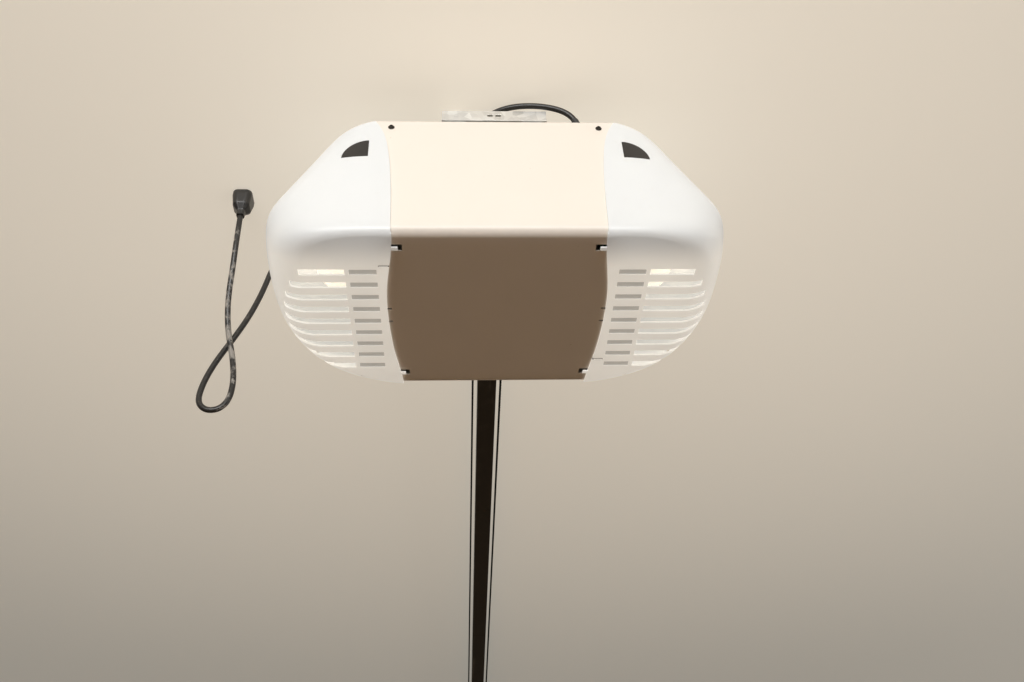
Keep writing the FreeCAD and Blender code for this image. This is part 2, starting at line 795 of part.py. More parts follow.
def square_tube(half, wall, y0, y1):
    outer = block((-half, y0, rail_mid - half), (half, y1, rail_mid + half))
    inner = half - wall
    return cut(outer, block((-inner, y0 - 1, rail_mid - inner), (inner, y1 + 1, rail_mid + inner)))


def rail():
    """Four butted sections of square tube over three inner sleeves."""
    half = d.tube / 2
    y = d.rail_start
    inner = half - d.tube_t
    sections, sleeves = [], []
    for length in (d.near_len, d.mid_len, d.mid_len, d.far_len):
        if sections:
            sleeves.append(square_tube(inner, 1.2, y - d.joint_len / 2, y + d.joint_len / 2))
        sections.append(square_tube(half, d.tube_t, y, y + length - d.joint_gap))
        y = y + length
    node("rail_sections", group(*sections))
    node("rail_sleeves", group(*sleeves))


def rail_bracket():
    """The channel bolted to the chassis that the near end of the rail sits in."""
    half, wall = d.tube / 2, 2.5
    y0, y1 = d.rail_start + 4, d.rail_start + 62
    channel = cut(
        block((-half - wall, y0, top), (half + wall, y1, rail_high - 6)),
        block((-half, y0 - 1, rail_low), (half, y1 + 1, rail_high)),
    )
    foot = block((-34, y0, top), (34, y1, top + 2.5))
    heads, bolts = [], []
    for sx in (-1, 1):
        for y in (y0 + 12, y1 - 12):
            at = (27.0 * sx, y, top + 2.5)
            bolts.append(rod(d.bolt_r + 0.02, (at[0], y, top - 1), 6))
            heads.append(fuse(hexagon(at, 3.2, "Z", 4.6), rod(d.bolt_r, at, 2.5, "-Z")))
    node("rail_bracket", cut(fuse(channel, foot), *bolts))
    node("rail_bracket_bolts", group(*heads))


def belt():
    """The plain back of the toothed belt: two straight runs and two half turns, end to end."""
    z0, z1 = rail_mid - d.belt_w / 2, rail_mid + d.belt_w / 2
    inside, outside = d.belt_r, d.belt_r + d.belt_t
    runs = [
        block((inside, d.drive_y, z0), (outside, idler_y, z1)),
        block((-outside, d.drive_y, z0), (-inside, idler_y, z1)),
    ]
    turns = []
    for y, away in ((d.drive_y, -1), (idler_y, 1)):
        ring = tube_along(outside, inside, (0, y, z0), d.belt_w)
        rest = (y, y + outside + 1) if away < 0 else (y - outside - 1, y)
        turns.append(cut(ring, block((-outside - 1, rest[0], z0 - 1), (outside + 1, rest[1], z1 + 1))))
    node("belt", group(*runs, *turns))


def pulley(name, y, bore):
    """A flanged belt pulley about Z."""
    r, w = d.belt_r - d.pulley_gap, d.pulley_w / 2
    lip = d.belt_w / 2 + 0.3
    profile = [
        (bore, -w), (r + 1.5, -w), (r + 1.5, -lip), (r, -lip),
        (r, lip), (r + 1.5, lip), (r + 1.5, w), (bore, w),
    ]
    wheel = turned(profile, (0, y, rail_mid))
    holes = []
    for i in range(5):
        a = 2 * math.pi * i / 5
        holes.append(rod(4.2, (14.2 * math.cos(a), y + 14.2 * math.sin(a), rail_mid - w - 1), d.pulley_w + 2))
    return node(name, cut(wheel, *holes))


def drive_end():
    """Sprocket, shaft, gear and their bearings."""
    pulley("sprocket", d.drive_y, d.shaft_r + 0.02)
    low = gear_z - 20
    shaft = fuse(
        rod(d.shaft_r, (0, d.drive_y, low), rail_mid + d.pulley_w / 2 + 4 - low),
        rod(d.shaft_r + 3, (0, d.drive_y, rail_mid + d.pulley_w / 2), 1.6),
    )
    node("drive_shaft", shaft)
    node("drive_gear", shape_piece(gear_shape()))
    fit = d.shaft_r + d.fit
    chassis_low = top - d.chassis_t
    upper = cut(
        fuse(
            rod(d.shaft_r + 4, (0, d.drive_y, chassis_low - 6), d.chassis_t + 8),
            rod(d.shaft_r + 12, (0, d.drive_y, chassis_low - 2.5), 2.5),
        ),
        rod(fit, (0, d.drive_y, chassis_low - 8), 20),
    )
    base = gear_z - 16
    lower = cut(
        fuse(
            rod(d.shaft_r + 4, (0, d.drive_y, base), 5),
            rod(d.shaft_r + 9, (0, d.drive_y, base + 2.5), 2.5),
        ),
        rod(fit, (0, d.drive_y, base - 2), 9),
    )
    node("shaft_bearings", group(upper, lower))
    y0, y1 = d.drive_y - 36, d.drive_y + 36
    outline = [
        (y0 - 14, chassis_low), (y0 + 2.5, chassis_low), (y0 + 2.5, base + 2.5),
        (y1 - 2.5, base + 2.5), (y1 - 2.5, chassis_low), (y1 + 14, chassis_low),
        (y1 + 14, chassis_low - 2.5), (y1, chassis_low - 2.5), (y1, base),
        (y0, base), (y0, chassis_low - 2.5), (y0 - 14, chassis_low - 2.5),
    ]
    frame = prism("YZ", outline, worm_x - 15, 30)
    cuts = [
        rod(d.shaft_r + 4, (0, d.drive_y, base - 1), 6),
        rod(MOTOR_SHAFT_R + 3, (worm_x, y0 - 1, gear_z), 5, "Y"),
        rod(MOTOR_SHAFT_R + 3, (worm_x, y1 - 4, gear_z), 5, "Y"),
    ]
    node("gear_bracket", cut(frame, *cuts))
    bushes = []
    for y in (y0, y1 - 2.5):
        bushes.append(
            tube_along(MOTOR_SHAFT_R + 3, MOTOR_SHAFT_R + d.fit, (worm_x, y - 1, gear_z), 4.5, "Y")
        )
    node("worm_bushings", group(*bushes))
    x, wall = 34.0, 2.0
    y0, y1 = d.drive_y - 36, d.drive_y + 40
    high = rail_high + 2
    hood = cut(
        block((-x, y0, top), (x, y1, high)),
        block((-x + wall, y0 + wall, top - 1), (x - wall, y1 + 1, high - wall)),
    )
    node("sprocket_cover", hood)


MOTOR_SHAFT_R = 4.0


def gear_shape():
    """Thirty trapezoid teeth round a hub, with a gap between teeth facing the worm."""
    root, tip = gear_r.value - GEAR_DEDENDUM, gear_r.value + GEAR_ADDENDUM
    pitch = 2 * math.pi / GEAR_TEETH
    points = []
    for i in range(GEAR_TEETH):
        mid = (i + 0.5) * pitch
        for r, share in ((root, -GEAR_FOOT), (tip, -GEAR_CREST), (tip, GEAR_CREST), (root, GEAR_FOOT)):
            a = mid + share * pitch
            points.append(FreeCAD.Vector(r * math.cos(a), r * math.sin(a), 0))
    rim = Part.Face(Part.makePolygon(points + points[:1]))
    w = d.gear_w.value
    at = FreeCAD.Vector(0, d.drive_y.value, gear_z.value)
    gear = rim.extrude(FreeCAD.Vector(0, 0, w))
    gear.translate(FreeCAD.Vector(0, 0, -w / 2))
    hub = Part.makeCylinder(12, w + 10, FreeCAD.Vector(0, 0, -w / 2 - 5))
    gear = gear.fuse(hub).cut(Part.makeCylinder(d.shaft_r.value + 0.02, w + 40, FreeCAD.Vector(0, 0, -w)))
    gear.translate(at)
    return gear


GEAR_DEDENDUM, GEAR_ADDENDUM, GEAR_FOOT, GEAR_CREST = 1.9, 0.9, 0.20, 0.10
WORM_DEDENDUM, WORM_ADDENDUM, WORM_FOOT, WORM_CREST = 1.7, 0.9, 0.20, 0.10


def worm_shape():
    """Shaft, rotor and a single right-hand thread, about Y."""
    pitch = math.pi * d.module.value
    core, tip = d.worm_r.value - WORM_DEDENDUM, d.worm_r.value + WORM_ADDENDUM
    turns = 8
    start = -pitch * turns / 2
    helix = Part.makeHelix(pitch, pitch * turns, core)
    profile = Part.makePolygon(
        [
            FreeCAD.Vector(core - 0.5, 0, -WORM_FOOT * pitch),
            FreeCAD.Vector(tip, 0, -WORM_CREST * pitch),
            FreeCAD.Vector(tip, 0, WORM_CREST * pitch),
            FreeCAD.Vector(core - 0.5, 0, WORM_FOOT * pitch),
            FreeCAD.Vector(core - 0.5, 0, -WORM_FOOT * pitch),
        ]
    )
    thread = Part.Wire(helix.Edges).makePipeShell([profile], True, True)
    thread.translate(FreeCAD.Vector(0, 0, start))
    body = Part.makeCylinder(core, pitch * (turns + 1), FreeCAD.Vector(0, 0, start - pitch / 2))
    worm = body.fuse(thread)
    # the helix starts on +X; about Y it must meet the gear with a thread at the middle
    worm.rotate(FreeCAD.Vector(0, 0, 0), FreeCAD.Vector(1, 0, 0), -90)
    worm.translate(FreeCAD.Vector(worm_x.value, d.drive_y.value, gear_z.value))
    return worm


# ---------------------------------------------------------------- motor


def motor():
    """Stator, windings, end bells, rotor with its worm, and the saddle under the chassis."""
    half, length = d.stator_w / 2, d.stator_l
    y0, y1 = d.motor_y - length / 2, d.motor_y + length / 2
    x, z = worm_x, gear_z
    corner = half * 0.42
    outline = [
        (x - half, z - corner), (x - corner, z - half), (x + corner, z - half), (x + half, z - corner),
        (x + half, z + corner), (x + corner, z + half), (x - corner, z + half), (x - half, z + corner),
    ]
    stack = prism("XZ", outline, y0, y1)
    node("motor_stator", cut(stack, rod(d.rotor_r + 0.6, (x, y0 - 1, z), length + 2, "Y")))
    coils = []
    for y in (y0 - 10, y1):
        coils.append(tube_along(d.rotor_r + 12, d.rotor_r + 2, (x, y, z), 10, "Y"))
    node("motor_windings", group(*coils))
    bells = []
    for y, axis in ((y0, "-Y"), (y1, "Y")):
        r = half - 4
        bell = [
            (MOTOR_SHAFT_R + d.fit, 13), (r - 6, 13), (r - 2, 9), (r - 2, 0), (r, 0), (r, 10), (r - 6, 15),
            (12, 15), (9, 18), (MOTOR_SHAFT_R + d.fit, 18),
        ]
        bells.append(turned(bell, (x, y, z), axis))
    node("motor_end_bells", group(*bells))
    rotor = fuse(
        rod(MOTOR_SHAFT_R, (x, y0 - 24, z), d.drive_y + 44 - y0 + 24, "Y"),
        rod(d.rotor_r, (x, y0 + 1, z), length - 2, "Y"),
        shape_piece(worm_shape()),
    )
    node("motor_rotor", rotor)
    low, high = z + half, top - d.chassis_t
    saddle = cut(
        block((x - corner, y0 + 6, low), (x + corner, y1 - 6, high)),
        block((x - corner + 4, y0 + 5, low + 2.5), (x + corner - 4, y1 - 5, high - 2.5)),
    )
    node("motor_mount", saddle)


# ---------------------------------------------------------------- electrics


def electrics():
    """Transformer, capacitor, logic board and the control panel behind the right-hand lens."""
    high = top - d.chassis_t
    core = block((44, -112, high - 42), (94, -72, high))
    window = block((50, -116, high - 34), (88, -68, high - 8))
    node("transformer", fuse(core, window))
    node("capacitor", fuse(
        rod(17.0, (-104, -30, high - 20), 84, "Y"),
        rod(14.0, (-104, -32, high - 20), 2, "Y"),
        rod(2.5, (-108, -40, high - 20), 8, "Y"),
        rod(2.5, (-100, -40, high - 20), 8, "Y"),
    ))
    ring = tube_along(19.5, 17.1, (-104, 4, high - 20), 14, "Y")
    node("capacitor_clamp", fuse(ring, block((-124, 4, high - 2.2), (-84, 18, high))))
    board_x = side_x - d.cover_t - 12
    board = block((board_x - 1.6, -126, -212), (board_x, -34, -100))
    chips = [
        block((board_x - 17.6, -120, -140), (board_x - 1.6, -100, -112)),
        block((board_x - 17.6, -94, -140), (board_x - 1.6, -74, -112)),
        block((board_x - 5.6, -112, -176), (board_x - 1.6, -84, -166)),
        block((board_x - 4.6, -72, -200), (board_x - 1.6, -44, -186)),
        rod(6.5, (board_x - 1.6, -58, -130), 18, "-X"),
        rod(6.5, (board_x - 1.6, -44, -130), 18, "-X"),
        rod(4.0, (board_x - 1.6, -112, -198), 12, "-X"),
    ]
    posts = []
    for y in (-121.0, -40.0):
        for z in (-206.0, -106.0):
            posts.append(rod(2.5, (board_x, y, z), 12, "X"))
    node("logic_board", fuse(board, *chips, *posts))
    plate_x = side_x
    panel_low = (plate_x, -112, PANEL_Z - 22)
    plate = block(panel_low, (plate_x + 2, -34, PANEL_Z + 22))
    cuts = [rod(BUTTON_R + 0.3, (plate_x - 1, BUTTON_Y, PANEL_Z), 5, "X")]
    for y in DIAL_Y:
        cuts.append(rod(2.0 + d.fit, (plate_x - 1, y, PANEL_Z), 5, "X"))
    node("control_plate", cut(plate, *cuts))
    node("learn_button", rod(BUTTON_R, (plate_x + 1.0, BUTTON_Y, PANEL_Z), 3.4, "X"))
    for name, y in zip(("up_force_dial", "down_force_dial"), DIAL_Y):
        knob = rod(6.5, (plate_x + 2.1, y, PANEL_Z), 4.5, "X")
        stem = rod(2.0, (plate_x + 0.2, y, PANEL_Z), 3, "X")
        slit = block((plate_x + 5.2, y - 5, PANEL_Z - 0.6), (plate_x + 8, y + 5, PANEL_Z + 0.6))
        node(name, cut(fuse(knob, stem), slit))
    strip = block((plate_x, 54, PANEL_Z - 7), (plate_x + 9, 104, PANEL_Z + 7))
    holes = []
    for i in range(4):
        holes.append(rod(2.2, (plate_x + 4, 61.0 + 12 * i, PANEL_Z), 8, "X"))
    node("terminal_block", cut(strip, *holes))
    wire = [(plate_x.value + 2 + out, y, z) for out, y, z in ANTENNA_WIRE]
    wire_tube, wire_radii, wire_length = lead_sweep(d.wire_r.value, wire)
    print("antenna wire length, mm:", round(wire_length, 1), "radii, mm:", wire_radii)
    node("antenna_wire", shape_piece(wire_tube))


PANEL_Z, BUTTON_R, BUTTON_Y = -168.0, 5.0, -50.0
DIAL_Y = (-92.0, -72.0)
# Distance out from the face of the control plate, then Y and Z.
ANTENNA_WIRE = [
    (0.0, -104.0, -158.0),
    (14.0, -104.0, -158.0),
    (28.0, -102.0, -168.0),
    (38.0, -99.0, -190.0),
    (40.0, -96.0, -216.0),
    (34.0, -92.0, -240.0),
]


def lead_sweep(radius, points):
    """A round section along straight runs joined by tangent arcs, its arc radii and its length."""
    p = [FreeCAD.Vector(*q) for q in points]
    edges, radii, start = [], [], p[0]
    for a, b, c in zip(p, p[1:], p[2:]):
        u, v = b - a, c - b
        turn = u.getAngle(v)
        back = 0.45 * min(u.Length, v.Length)
        r = back / math.tan(turn / 2)
        radii.append(round(r))
        u.normalize()
        v.normalize()
        first, last = b - u * back, b + v * back
        across = v - u
        across.normalize()
        middle = b + across * (r / math.cos(turn / 2) - r)
        edges.append(Part.makeLine(start, first))
        edges.append(Part.Arc(first, middle, last).toShape())
        start = last
    edges.append(Part.makeLine(start, p[-1]))
    section = Part.Wire(Part.makeCircle(radius, p[0], p[1] - p[0]))
    path = Part.Wire(edges)
    return path.makePipeShell([section], True, False), radii, path.Length


POWER_LEAD = [
    (112.2, -119.8, -78.0),
    (111.8, -120.6, -46.0),
    (99.0, -128.0, -20.5),
    (62.0, -130.5, -8.6),
    (18.0, -126.5, -6.6),
    (-13.0, -108.0, -6.8),
    (-42.0, -82.0, -9.6),
    (-82.0, -62.0, -30.0),
    (-124.0, -40.0, -46.0),
    (-166.0, -12.0, -51.0),
    (-206.0, 20.0, -50.0),
    (-246.0, 52.0, -46.0),
    (-284.0, 82.0, -48.0),
    (-311.0, 99.0, -76.0),
    (-321.0, 104.0, -122.0),
    (-333.0, 104.0, -167.0),
    (-348.0, 104.0, -206.0),
    (-367.0, 104.0, -248.0),
    (-378.0, 104.0, -284.0),
    (-381.0, 104.0, -315.0),
    (-369.0, 104.0, -329.0),
    (-352.0, 104.0, -328.0),
    (-341.0, 104.0, -313.0),
    (-339.0, 103.0, -284.0),
    (-345.0, 100.0, -246.0),
    (-356.0, 92.0, -206.0),
    (-359.0, 76.0, -164.0),
    (-355.0, 57.0, -120.0),
    (-352.6, 41.0, -78.0),
    (-352.6, 37.2, -33.0),
]
# Sections of the plug, from its pin face down: drop, half width along X, half width along Y.
PLUG_SECTIONS = ((0, 13.5, 16.5), (6, 13.5, 16.5), (22, 11.5, 12.5), (30, 6.0, 6.5), (38, 5.2, 5.2))
PLUG_TIP = (-352.6, 37.0, -3.0)


def power():
    """The lead from the chassis gland to a three-pin plug in the ceiling outlet."""
    tube, radii, length = lead_sweep(d.lead_r.value, POWER_LEAD)
    section = math.pi * d.lead_r.value ** 2
    print("lead length, mm:", round(length, 1), "radii, mm:", radii)
    print("lead volume over section times length:", round(tube.Volume / (section * length), 4))
    node("power_lead", shape_piece(tube))
    gland = cut(
        fuse(
            rod(LEAD_GLAND_R, (LEAD_X, lead_exit_y(), top - d.chassis_t - 3), d.chassis_t + 7),
            rod(LEAD_GLAND_R + 2.5, (LEAD_X, lead_exit_y(), top), 2.5),
            rod(LEAD_GLAND_R + 2.0, (LEAD_X, lead_exit_y(), top - d.chassis_t - 2.5), 2.5),
        ),
        rod(d.lead_r + 0.9, (LEAD_X, lead_exit_y(), top - 10), 20),
    )
    node("lead_gland", gland)
    x, y, z = PLUG_TIP
    sections = []
    for drop, half_x, half_y in PLUG_SECTIONS:
        sections.append(rounded(x, y, z - drop, half_x, half_y))
    plug = Part.makeLoft(sections, True, True)
    plug = plug.cut(tube)
    node("plug", shape_piece(plug))
    blades = []
    for side in (-1, 1):
        blades.append(block((x + 6.35 * side - 0.75, y - 5, z), (x + 6.35 * side + 0.75, y + 1.35, z + 16)))
    blades.append(rod(2.4, (x, y + 10.5, z), 18))
    node("plug_pins", group(*blades))


def rounded(x, y, z, half_x, half_y):
    """An outline with four rounded corners on a level plane."""
    r = min(half_x, half_y) * 0.6
    edges, last = [], None
    for sx, sy, a0 in ((1, 1, 0), (-1, 1, 90), (-1, -1, 180), (1, -1, 270)):
        centre = FreeCAD.Vector(x + (half_x - r) * sx, y + (half_y - r) * sy, z)
        arc = Part.makeCircle(r, centre, FreeCAD.Vector(0, 0, 1), a0, a0 + 90)
        begin, end = arc.valueAt(arc.FirstParameter), arc.valueAt(arc.LastParameter)
        if last:
            edges.append(Part.makeLine(last, begin))
        else:
            first = begin
        edges.append(arc)
        last = end
    edges.append(Part.makeLine(last, first))
    return Part.Wire(edges)


# ---------------------------------------------------------------- header end


def header_end():
    """Idler fork inside the far end of the rail, idler, header bracket and pins."""
    inner = d.tube / 2 - d.tube_t
    plate, gap = 3.0, d.pulley_w / 2 + 0.6
    pin_y = idler_y + 75
    y0, y1 = rail_end - 60, idler_y + 40
    fork = fuse(
        block((-inner + 1, y0, rail_mid + gap), (inner - 1, y1, rail_mid + gap + plate)),
        block((-inner + 1, y0, rail_mid - gap - plate), (inner - 1, y1, rail_mid - gap)),
        block((-inner, y0, rail_mid - inner), (inner, y0 + 30, rail_mid + inner)),
        block((-inner + 1, y1 - 6, rail_mid - gap - plate), (inner - 1, y1, rail_mid + gap + plate)),
        block((-4, y1 - 3, rail_mid - 10), (4, pin_y, rail_mid + 10)),
        rod(10, (-4, pin_y, rail_mid), 8, "X"),
    )
    pin_r = 4.0
    fork = cut(
        fork,
        rod(pin_r + 0.05, (0, idler_y, rail_mid - gap - plate - 1), 2 * (gap + plate) + 2),
        rod(pin_r + 0.05, (-10, pin_y, rail_mid), 20, "X"),
    )
    node("idler_bracket", fork)
    pulley("idler_pulley", idler_y, pin_r + d.fit)
    low = rail_mid - gap - plate - 3
    idler_pin = fuse(
        rod(pin_r, (0, idler_y, low), 2 * (gap + plate) + 5),
        rod(7, (0, idler_y, rail_mid + gap + plate), 2.5),
    )
    node("idler_pin", idler_pin)
    cheeks = []
    for side in (-1, 1):
        x0, x1 = sorted((4.5 * side, 7.5 * side))
        cheeks.append(block((x0, pin_y, rail_mid - 14), (x1, wall_y - 2, rail_mid + 14)))
        cheeks.append(rod(14, (x0, pin_y, rail_mid), 3, "X"))
    wall = block((-32, wall_y - 3, rail_mid - 45), (32, wall_y, rail_mid + 34))
    holes = [rod(pin_r + 0.05, (-10, pin_y, rail_mid), 20, "X")]
    for side in (-1, 1):
        for z in (-35, 25):
            holes.append(rod(d.lag_r, (21 * side, wall_y - 5, rail_mid + z), 10, "Y"))
    node("header_bracket", cut(fuse(wall, *cheeks), *holes))
    pin_head = rod(6.5, (-12, pin_y, rail_mid), 2.5, "X")
    node("header_pin", fuse(rod(pin_r, (-9.5, pin_y, rail_mid), 22, "X"), pin_head))


def trolley():
    """Carriage round the rail, with its keel, release lever and the door arm hung below it."""
    half = d.tube / 2 + d.slide_gap
    out = half + d.side_t
    y0, y1 = trolley_y - d.trolley_l / 2, trolley_y + d.trolley_l / 2
    keel_low = rail_mid - out - d.keel_h
    clamp_x = -(d.belt_r + d.belt_t + 2.6)
    sleeve = fuse(
        block((-out, y0, rail_mid - out), (out, y1, rail_mid + out)),
        block((-KEEL_HALF, y0 + 6, keel_low), (KEEL_HALF, y1 - 12, rail_mid - out + 1)),
        block((clamp_x, trolley_y - 22, rail_mid - 8), (-out + 1, trolley_y + 22, rail_mid + 8)),
    )
    slide = 0.4
    arm_pin = (0, trolley_y + ARM_PIN, keel_low + 8)
    lever_pin = (0, trolley_y - LEVER_PIN, keel_low + 8)
    cuts = [
        block((-half, y0 - 1, rail_mid - half), (half, y1 + 1, rail_mid + half)),
        block((-KEEL_SLOT, y0, keel_low - 1), (KEEL_SLOT, y1, rail_mid - out)),
        block(
            (-(d.belt_r + d.belt_t + slide), y0, rail_mid - d.belt_w / 2 - slide),
            (-(d.belt_r - d.tooth_h - slide), y1, rail_mid + d.belt_w / 2 + slide),
        ),
        rod(3.0, (-20, arm_pin[1], arm_pin[2]), 40, "X"),
        rod(2.0, (-20, lever_pin[1], lever_pin[2]), 40, "X"),
    ]
    node("trolley", cut(sleeve, *cuts))
    pins = []
    for r, at in ((3.0, arm_pin), (2.0, lever_pin)):
        pins.append(rod(r, (-KEEL_HALF - 1.5, at[1], at[2]), 2 * KEEL_HALF + 3, "X"))
        pins.append(rod(r + 2, (-KEEL_HALF - 3.5, at[1], at[2]), 2, "X"))
    node("trolley_pins", fuse(*pins))
    lever = fuse(
        rod(6, (-1.5, lever_pin[1], lever_pin[2]), 3, "X"),
        block((-1.5, lever_pin[1] - 5, lever_pin[2] - 42), (1.5, lever_pin[1] + 5, lever_pin[2])),
        rod(7, (-1.5, lever_pin[1], lever_pin[2] - 44), 3, "X"),
    )
    lever_cuts = [
        rod(2.0 + d.fit, (-3, lever_pin[1], lever_pin[2]), 6, "X"),
        rod(3.0, (-3, lever_pin[1], lever_pin[2] - 44), 6, "X"),
    ]
    node("release_lever", cut(lever, *lever_cuts))
    arms(arm_pin)


KEEL_HALF, KEEL_SLOT, ARM_PIN, LEVER_PIN = 12.0, 2.0, 24.0, 36.0


def arms(pin):
    """Straight bar from the trolley, bolted to a bent bar that reaches forward to the door."""
    _, y, z = pin
    w, t = d.arm_w / 2, d.arm_t / 2
    end = z - d.arm_upper
    bar = fuse(rod(w * 0.7, (-t, y, z), d.arm_t, "X"), block((-t, y - w * 0.7, end), (t, y + w * 0.7, z)))
    holes = [rod(3.0 + d.fit, (-5, y, z), 10, "X")]
    for i in range(5):
        holes.append(rod(3.3, (-5, y, end + 12 + 22 * i), 10, "X"))
    node("straight_arm", cut(bar, *holes))
    low = end - d.arm_lower + 70
    reach = 95.0
    outline = [
        (y - w * 0.7, end + 70), (y + w * 0.7, end + 70), (y + w * 0.7, low + 72),
        (y + reach + 4, low + 10), (y + reach - 8, low - 9), (y - w * 0.7, low + 62),
    ]
    bent = prism("YZ", outline, t, t + d.arm_t)
    tip = rod(11, (t, y + reach, low + 0.5), d.arm_t, "X")
    lower_holes = [rod(4.0, (-1, y + reach, low + 0.5), 10, "X")]
    bolts, nuts = [], []
    for i in (0, 2):
        at = end + 12 + 22 * i
        lower_holes.append(rod(3.3, (-1, y, at), 10, "X"))
        bolts.append(fuse(rod(d.bolt_r, (-t, y, at), 12, "X"), hexagon((-t, y, at), 3.4, "-X")))
        nuts.append(ring_nut((t + d.arm_t, y, at), "X"))
    node("bent_arm", cut(fuse(bent, tip), *lower_holes))
    node("arm_fasteners", group(*bolts, *nuts))


# ---------------------------------------------------------------- build, check and write


chassis()
cover()
cover_screws()
ends()
lenses()
latches()
hangers()
rail()
rail_bracket()
belt()
drive_end()
motor()
electrics()
power()
header_end()
trolley()

doc.recompute()
broken = [o.Name for o in doc.Objects if "Invalid" in o.State or "Error" in o.State]
if broken:
    raise RuntimeError(f"features that did not build: {broken}")
for name, piece in nodes.items():
    if piece.Shape.isNull() or not piece.Shape.isValid() or not piece.Shape.Solids:
        raise RuntimeError(f"{name} has no sound shape")
os.makedirs("parts", exist_ok=True)
for name, piece in nodes.items():
    piece.Shape.exportStep(f"parts/{name}.step")
print(len(nodes), "sub-parts written")
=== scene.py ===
import json
import math

import bmesh
import bpy
from mathutils import Matrix, Quaternion, Vector


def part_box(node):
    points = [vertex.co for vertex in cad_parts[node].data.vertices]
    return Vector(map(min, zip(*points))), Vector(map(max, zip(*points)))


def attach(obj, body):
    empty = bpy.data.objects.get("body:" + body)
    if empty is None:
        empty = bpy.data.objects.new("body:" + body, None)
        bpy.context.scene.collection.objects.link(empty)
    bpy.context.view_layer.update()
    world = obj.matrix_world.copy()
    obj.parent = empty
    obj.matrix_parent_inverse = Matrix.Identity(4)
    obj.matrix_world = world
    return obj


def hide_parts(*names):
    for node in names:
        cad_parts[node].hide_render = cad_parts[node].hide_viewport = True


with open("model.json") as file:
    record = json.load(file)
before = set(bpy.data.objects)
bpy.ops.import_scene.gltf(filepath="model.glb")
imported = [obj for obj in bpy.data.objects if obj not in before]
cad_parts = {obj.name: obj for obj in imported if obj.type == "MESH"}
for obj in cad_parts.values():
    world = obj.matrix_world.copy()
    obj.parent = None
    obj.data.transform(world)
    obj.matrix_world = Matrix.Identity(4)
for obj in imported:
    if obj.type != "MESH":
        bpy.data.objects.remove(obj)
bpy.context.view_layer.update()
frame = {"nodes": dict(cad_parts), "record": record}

# A garage door opener hung from a ceiling, in metres: +Z up, +Y along the rail to the door, ceiling at z = 0.

RECORD = frame["record"]
SLOT_OF = {row["node"]: row["material_slot"] for row in RECORD["subparts"]}
BODY_OF = {n: body for body, names in RECORD["behaviour"]["bodies"].items() for n in names}


# ---------------------------------------------------------------- camera and power lead

CAMERA_AT = Vector((-0.0493, -0.9295, -1.0966))
CAMERA_PITCH, CAMERA_YAW, CAMERA_ROLL = math.radians(40.35), math.radians(4.09), math.radians(2.94)
FOCAL_LENGTH, SENSOR = 35.16, 36.0


def make_camera():
    data = bpy.data.cameras.new("camera")
    data.lens, data.sensor_width = FOCAL_LENGTH, SENSOR
    data.clip_start, data.clip_end = 0.01, 60.0
    camera = bpy.data.objects.new("camera", data)
    bpy.context.scene.collection.objects.link(camera)
    ahead = Vector(
        (
            math.sin(CAMERA_YAW) * math.cos(CAMERA_PITCH),
            math.cos(CAMERA_YAW) * math.cos(CAMERA_PITCH),
            math.sin(CAMERA_PITCH),
        )
    )
    camera.location = CAMERA_AT
    camera.rotation_mode = "QUATERNION"
    level = ahead.to_track_quat("-Z", "Y")
    camera.rotation_quaternion = level @ Quaternion((0.0, 0.0, 1.0), -CAMERA_ROLL)
    bpy.context.scene.camera = camera


LEAD_DIAMETER = 0.0078
LEAD_ROUTE = [
    (0.1122, -0.1198, -0.0780),
    (0.1118, -0.1206, -0.0460),
    (0.0990, -0.1280, -0.0205),
    (0.0620, -0.1305, -0.0086),
    (0.0180, -0.1265, -0.0066),
    (-0.0130, -0.1080, -0.0068),
    (-0.0420, -0.0820, -0.0096),
    (-0.0820, -0.0620, -0.0300),
    (-0.1240, -0.0400, -0.0460),
    (-0.1660, -0.0120, -0.0510),
    (-0.2060, 0.0200, -0.0500),
    (-0.2460, 0.0520, -0.0460),
    (-0.2840, 0.0820, -0.0480),
    (-0.3110, 0.0990, -0.0760),
    (-0.3210, 0.1040, -0.1220),
    (-0.3330, 0.1040, -0.1670),
    (-0.3480, 0.1040, -0.2060),
    (-0.3670, 0.1040, -0.2480),
    (-0.3780, 0.1040, -0.2840),
    (-0.3810, 0.1040, -0.3150),
    (-0.3690, 0.1040, -0.3290),
    (-0.3520, 0.1040, -0.3280),
    (-0.3410, 0.1040, -0.3130),
    (-0.3390, 0.1030, -0.2840),
    (-0.3450, 0.1000, -0.2460),
    (-0.3560, 0.0920, -0.2060),
    (-0.3590, 0.0760, -0.1640),
    (-0.3550, 0.0570, -0.1200),
    (-0.3526, 0.0410, -0.0780),
    (-0.3526, 0.0372, -0.0330),
]


def route_curve(name, points):
    """A smooth open NURBS line with the given control points."""
    data = bpy.data.curves.new(name, "CURVE")
    data.dimensions = "3D"
    data.resolution_u = 10
    line = data.splines.new("NURBS")
    line.points.add(len(points) - 1)
    for spot, at in zip(line.points, points):
        spot.co = (*at, 1.0)
    line.order_u = 3
    line.use_endpoint_u = True
    piece = bpy.data.objects.new(name, data)
    bpy.context.scene.collection.objects.link(piece)
    return piece


def line_of(piece):
    """The points along a curve that has no thickness yet."""
    mesh = bpy.data.meshes.new_from_object(piece)
    points = [v.co.copy() for v in mesh.vertices]
    bpy.data.meshes.remove(mesh)
    return points


make_camera()
LEAD = route_curve("power_lead_cable", LEAD_ROUTE)
LEAD_LINE = line_of(LEAD)
LEAD.data.bevel_depth = LEAD_DIAMETER / 2
LEAD.data.bevel_resolution = 5


# ---------------------------------------------------------------- shader maths


